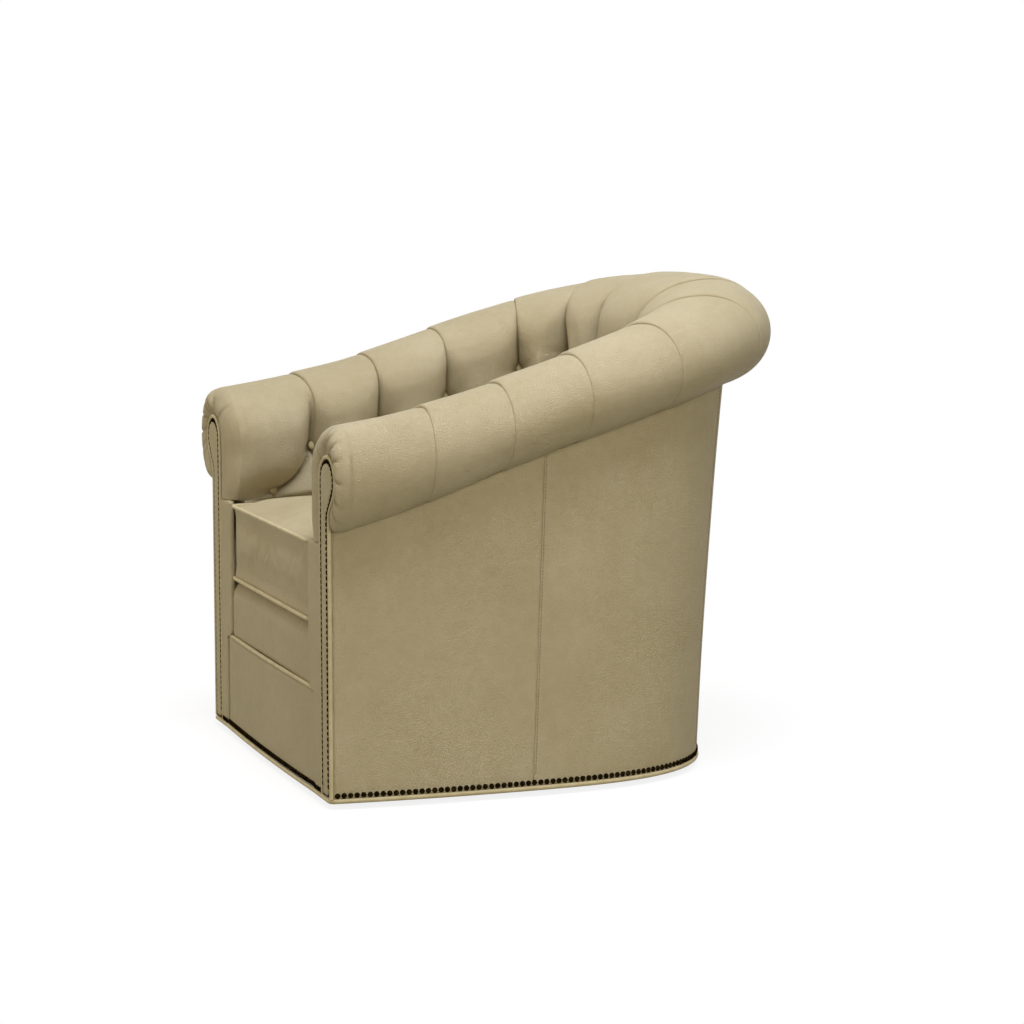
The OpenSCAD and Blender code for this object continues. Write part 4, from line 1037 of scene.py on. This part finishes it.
def front_nails():
    beside = [s * np.linspace(a, b, 4) for s in (-1, 1) for a, b in ((0.2866, 0.3148), (0.3326, 0.3634))]
    x = np.concatenate([np.linspace(-0.276, 0.276, 61), *beside])
    y = np.where(np.abs(x) < PANEL_HALF, bow(x) + 0.0016, np.where(np.abs(x) < FACE_IN, 0.0004, 0.0020))
    return in_front(x, y - 0.0006, NAIL_H + 0.0003), [(0, -1, 0)] * len(x)


def facing_nails():
    edge = facing_edge(0.0118, 3.0)
    low = 1 - smooth(edge[:, 1], SCROLL_FOOT - 0.03, SCROLL_FOOT + 0.02)
    edge[:, 0] -= low * np.where(edge[:, 0] > 0.345, 0.0032, 0.0015)
    edge = resampled(edge, FACING_NAIL_PITCH)[2:-2]
    right = in_front(edge[:, 0], 0.0008, edge[:, 1])
    both = np.concatenate([right, right * (-1, 1, 1)])
    return both, [(0, -1, 0)] * len(both)


for label, places in (("side", side_nails()), ("front", front_nails()), ("facing", facing_nails())):
    trim(set_out(label + "_nails", NAIL_HEAD, *places), NAIL)

# Seat cushion


CUSHION_MIDDLE = SWIVEL_Y * 0.85 - ORIGIN_Y


def thinned(p, count):
    return p[np.linspace(0, len(p), count, endpoint=False).astype(int)]


def cushion_outline(inset):
    """Outline of the cushion in plan: the tub's inside, cut by the arm linings and by a straight front."""
    w, fy = 0.2504 - WELT_R, -0.0016 + WELT_R - ORIGIN_Y
    rim = at(np.linspace(0.012, 1.988, 400), -LINING - 0.0008 - WELT_R, CUSHION_BOTTOM)[:, :2]
    rim[:, 0] = np.sign(rim[:, 0]) * np.minimum(np.abs(rim[:, 0]), w)
    x = np.linspace(-w, w, 100)[1:-1]
    front = np.stack([x, fy + 0.004 * np.clip((np.abs(x) - w + 0.010) / 0.010, 0, 1) ** 2], 1)
    p = resampled(np.concatenate([rim, front]), 0.001, True)
    p = np.concatenate([p[-3:], p, p[:3]])
    p = np.stack([np.convolve(p[:, i], np.ones(7) / 7, "valid") for i in (0, 1)], 1)
    d = unit(np.roll(p, -1, 0) - np.roll(p, 1, 0))
    across = np.stack([d[:, 1], -d[:, 0]], 1)
    p = p - across * inset * np.sign(np.sum(across * (p - (0, CUSHION_MIDDLE)), 1, keepdims=True))
    return thinned(p, 240)


def cushion_start():
    """The cushion before it is filled: rings of its outline from the bottom to the top, gently crowned."""
    def ring(f, z, inset=0.0015):
        return [(x * (1 - f), CUSHION_MIDDLE + (y - CUSHION_MIDDLE) * (1 - f), z) for x, y in cushion_outline(inset)]

    wall = ((0.0015, 0.0040), (0.0014, 0.014), (0.0006, 0.036), (0.0004, 0.067), (0.0006, 0.098), (0.0014, 0.120),
            (0.0015, 0.1315))
    crown = (0.02, 0.04, 0.07, 0.11, 0.16, 0.23, 0.32, 0.45, 0.62, 0.80, 0.97)
    return solid("seat_cushion_pad", [
        *[ring(f, CUSHION_BOTTOM + 0.0008) for f in (0.97, 0.8, 0.6, 0.4, 0.2, 0.05)],
        *[ring(0, CUSHION_BOTTOM + z, inset) for inset, z in wall],
        *[ring(f, SEAT_H - 0.0015 + 0.025 * (1 - (1 - f) ** 3)) for f in crown]])


def held(points, start):
    """How far each point may move when the cushion is filled: not at its welts and not under the seat."""
    z = start[:, 2]
    top = smooth(np.abs(z - SEAT_H + 0.001), 0.0045, 0.020)
    bottom = smooth(np.abs(z - CUSHION_BOTTOM - WELT_R), 0.0045, 0.020)
    above = 0.007 * np.maximum(top, smooth(z, SEAT_H + 0.001, SEAT_H + 0.008))
    free = np.where(z > SEAT_H - 0.004, above, 0.0035 * top * bottom)
    free = np.where(z < CUSHION_BOTTOM + 0.004, 0.0, free)
    move = points - start
    far = np.linalg.norm(move, axis=1, keepdims=True)
    return start + move * np.minimum(1, free[:, None] / np.maximum(far, 1e-9))


def filled(obj):
    """Blows the cover up as cloth, within what held allows."""
    select_only(obj)
    obj.data.remesh_voxel_size = 0.0062
    bpy.ops.object.voxel_remesh()
    start = coordinates(obj.data)
    cloth = obj.modifiers.new("filling", "CLOTH")
    cloth.settings.quality, cloth.settings.mass = 5, 0.3
    cloth.settings.tension_stiffness = cloth.settings.compression_stiffness = 12
    cloth.settings.bending_stiffness = 0.6
    cloth.settings.use_pressure, cloth.settings.uniform_pressure_force = True, 4
    cloth.settings.effector_weights.gravity = 0
    cloth.collision_settings.use_self_collision = False
    for frame_number in range(1, 21):
        bpy.context.scene.frame_set(frame_number)
    points = coordinates(obj.evaluated_get(bpy.context.evaluated_depsgraph_get()).to_mesh())
    obj.modifiers.remove(cloth)
    bpy.context.scene.frame_set(1)
    obj.data.vertices.foreach_set("co", held(points, start).ravel())
    obj.data.update()
    obj.modifiers.new("finer", "SUBSURF").levels = 1
    bpy.ops.object.modifier_apply(modifier="finer")
    bpy.ops.object.shade_smooth()
    obj.select_set(False)


cushion = cushion_start()
filled(cushion)
dress(cushion, PANEL_HIDE, "seat_cushion", body="cushion")
outline = cushion_outline(0.0)
for label, z in (("top", SEAT_H), ("bottom", CUSHION_BOTTOM + WELT_R)):
    welt = piping("cushion_piping_" + label, np.concatenate([outline, np.full((len(outline), 1), z)], 1), WELT_R, True)
    dress(welt, PIPING, "cushion_welt_" + label, body="cushion")

# Felt pad over the springs, webbing and dust cover


def tub_outline(n, z, front, count):
    """Points round the tub at offset n and height z, closed by a straight front at y front."""
    p = at(np.linspace((front + 0.001) / HALF, 2 - (front + 0.001) / HALF, 120), n, z)[:, :2]
    x = np.linspace(p[-1, 0], p[0, 0], 60)[1:-1]
    p = np.concatenate([p, np.stack([x, 0 * x + p[0, 1]], 1)])
    return thinned(resampled(p, 0.002, True), count)


def felt_pad():
    low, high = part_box("deck_pad")
    rim = tub_outline(-LINING - 0.0009, low[2], FRONT_DEPTH, 160)
    inwards = unit(np.array([0, (low[1] + high[1]) / 2]) - rim)
    steps = ((0.19, 0.0), (0.04, 0.0), (0.012, 0.0008), (0.003, 0.004), (0.0, 0.010), (0.0, 0.022), (0.003, 0.0275),
             (0.012, 0.0303), (0.04, 0.0316), (0.19, 0.0318))
    rings = [np.concatenate([rim + inwards * inset, np.full((160, 1), low[2] + z)], 1) for inset, z in steps]
    return solid("felt_pad", rings)


def webbing_straps():
    """Upright straps round the inside of the frame, drawn tight between the seat frame and the top rail."""
    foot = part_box("back_webbing")[0][2]
    across = np.linspace(-1, 1, 7)
    edge = 0.0004 * (np.abs(across) > 0.9)
    verts, faces = [], []
    for middle in 0.25 + np.arange(9) * 1.5 / 8:
        t, head = middle + across * 0.0249, float(rail_mid(share(middle))) + 0.005
        faces += [tuple(i + len(verts) for i in f) for f in solid_faces(30, 14)]
        for w in np.linspace(0, 1, 30):
            z, dip = foot + (head - foot) * w, 0.0005 * math.sin(math.pi * w)
            verts += [*at(t, FRAME_N - 0.0226 + edge + dip, z), *at(t[::-1], FRAME_N - 0.0211 - edge + dip, z)]
    return mesh_piece("webbing_straps", verts, faces)


def stretched_cover():
    """Black cloth tacked under the base, drawn flat between the rails and its round hole over the swivel."""
    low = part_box("dust_cover")[0]
    outer = tub_outline(FRAME_N, low[2], 0.0045, 240)
    centre = np.array([0, SWIVEL_Y - ORIGIN_Y])
    angle = np.arctan2(*(outer - centre).T[::-1])
    inner = centre + 0.2652 * np.stack([np.cos(angle), np.sin(angle)], 1)
    rings = []
    for w in np.linspace(0, 1, 9):
        z = low[2] + 0.0002 - 0.0011 * math.sin(math.pi * w)
        rings.append(np.concatenate([outer + (inner - outer) * w, np.full((240, 1), z)], 1))
    rings += [r + (0, 0, 0.0007) for r in rings[::-1]]
    return mesh_piece("stretched_cover", rings, ring_faces(len(rings), 240, closed=True))


dress(felt_pad(), FELT, "deck_pad")
dress(webbing_straps(), JUTE, "back_webbing")
cover = stretched_cover()
dress(cover, CAMBRIC, "dust_cover")

# Frame, springs and swivel base, which keep the shapes of their nodes

for finish, labels in (
        (BEECH, "cross_rail_front cross_rail_back bottom_rail_front front_rail arm_post_left arm_post_right"
                " side_uprights back_uprights corner_blocks"),
        (PLYWOOD, "plinth_board bottom_rail_left bottom_rail_right bottom_rail_back seat_frame top_rail"
                  " scroll_board_left scroll_board_right"),
        (ZINC, "lower_swivel_plate lower_plate_screws swivel_rivet bearing_balls ball_retainer upper_swivel_plate"
               " upper_plate_bolts spring_clips"),
        (NYLON, "floor_glides"), (SPRING, "seat_springs")):
    for label in labels.split():
        NODES[label].data.materials.clear()
        NODES[label].data.materials.append(finish)

# Camera, floor and light


def camera():
    azimuth, elevation = math.radians(69.8), math.radians(7.36)
    eye = bpy.data.cameras.new("Camera")
    eye.lens, eye.sensor_width = 100.0, 36.0
    eye.clip_end = 60
    obj = placed("Camera", eye)
    level = math.cos(elevation)
    back = Vector((math.sin(azimuth) * level, -math.cos(azimuth) * level, math.sin(elevation)))
    obj.location = (4.7038, -1.7196, 1.070)
    obj.rotation_mode = "QUATERNION"
    obj.rotation_quaternion = (-back).to_track_quat("-Z", "Y")
    bpy.context.scene.camera = obj


def seen(graph):
    """1 for what is looked at directly, in a gloss or through glass, which is shown another way than it lights."""
    path = graph.tree.nodes.new("ShaderNodeLightPath")
    seen_ray = Wire(graph, path.outputs["Is Camera Ray"])
    for other in ("Is Glossy Ray", "Is Transmission Ray"):
        seen_ray = seen_ray.math("MAXIMUM", seen_ray, Wire(graph, path.outputs[other]))
    return seen_ray


def world():
    scene = bpy.context.scene
    scene.view_settings.view_transform = "Standard"
    scene.world = bpy.data.worlds.new("Studio")
    scene.world.use_nodes = True
    g = Graph(scene.world.node_tree)
    light, white = (
        g.add("ShaderNodeBackground", {}, {"Color": (*colour, 1), "Strength": strength})
        for colour, strength in (((1.0, 0.92, 0.77), 0.32), ((1, 1, 1), 1.0)))
    shown = g.add("ShaderNodeMixShader", {}, (seen(g), light, white))
    g.tree.links.new(shown.socket, g.tree.nodes["World Output"].inputs["Surface"])


def floor():
    """The floor lights as a matt one, and is shown white further out, with the chair's shadow near it."""
    bpy.ops.mesh.primitive_plane_add(size=24, location=(0, 0, 0))
    obj = bpy.context.object
    obj.name = "floor"
    mat = bpy.data.materials.new("Pale floor")
    mat.use_nodes = True
    g = Graph(mat.node_tree)
    g.tree.nodes.remove(g.tree.nodes["Principled BSDF"])
    matt, grey = (
        g.add("ShaderNodeBsdfDiffuse", {}, ((*colour, 1),)) for colour in ((0.26, 0.25, 0.21), (0.20, 0.20, 0.20)))
    glow, white = (g.add("ShaderNodeEmission", {}, ((1, 1, 1, 1), strength)) for strength in (0.84, 1.0))
    place = g.add("ShaderNodeNewGeometry", {}, (), "Position")
    length = g.add("ShaderNodeVectorMath", {"operation": "LENGTH"}, (place,), "Value")
    away = g.add("ShaderNodeMapRange", {"interpolation_type": "SMOOTHSTEP"},
                 {"Value": length, "From Min": 0.7, "From Max": 1.3})
    shown = g.add("ShaderNodeMixShader", {}, (away, g.add("ShaderNodeAddShader", {}, (grey, glow)), white))
    shown = g.add("ShaderNodeMixShader", {}, (seen(g), matt, shown))
    g.tree.links.new(shown.socket, g.tree.nodes["Material Output"].inputs["Surface"])
    obj.data.materials.append(mat)
    obj.select_set(False)


def lamp(name, place, aim, size, watts, tint):
    light = bpy.data.lights.new(name, "AREA")
    light.shape, light.size, light.energy, light.color = "DISK", size, watts, tint
    obj = placed(name, light)
    obj.location = place
    obj.rotation_mode = "QUATERNION"
    obj.rotation_quaternion = (Vector(place) - Vector(aim)).to_track_quat("Z", "Y")


camera()
world()
floor()
lamp("Overhead lamp", (0.8, -0.1, 3.2), (0, 0, 0.5), 2.4, 103, (0.93, 0.96, 1.08))
lamp("Side lamp", (4.0, -0.4, 1.1), (0, 0, 0.5), 1.6, 56, (1.0, 0.94, 0.84))
lamp("Front lamp", (-1.0, -3.8, 1.3), (0, 0, 0.3), 1.6, 40, (1.0, 0.90, 0.72))
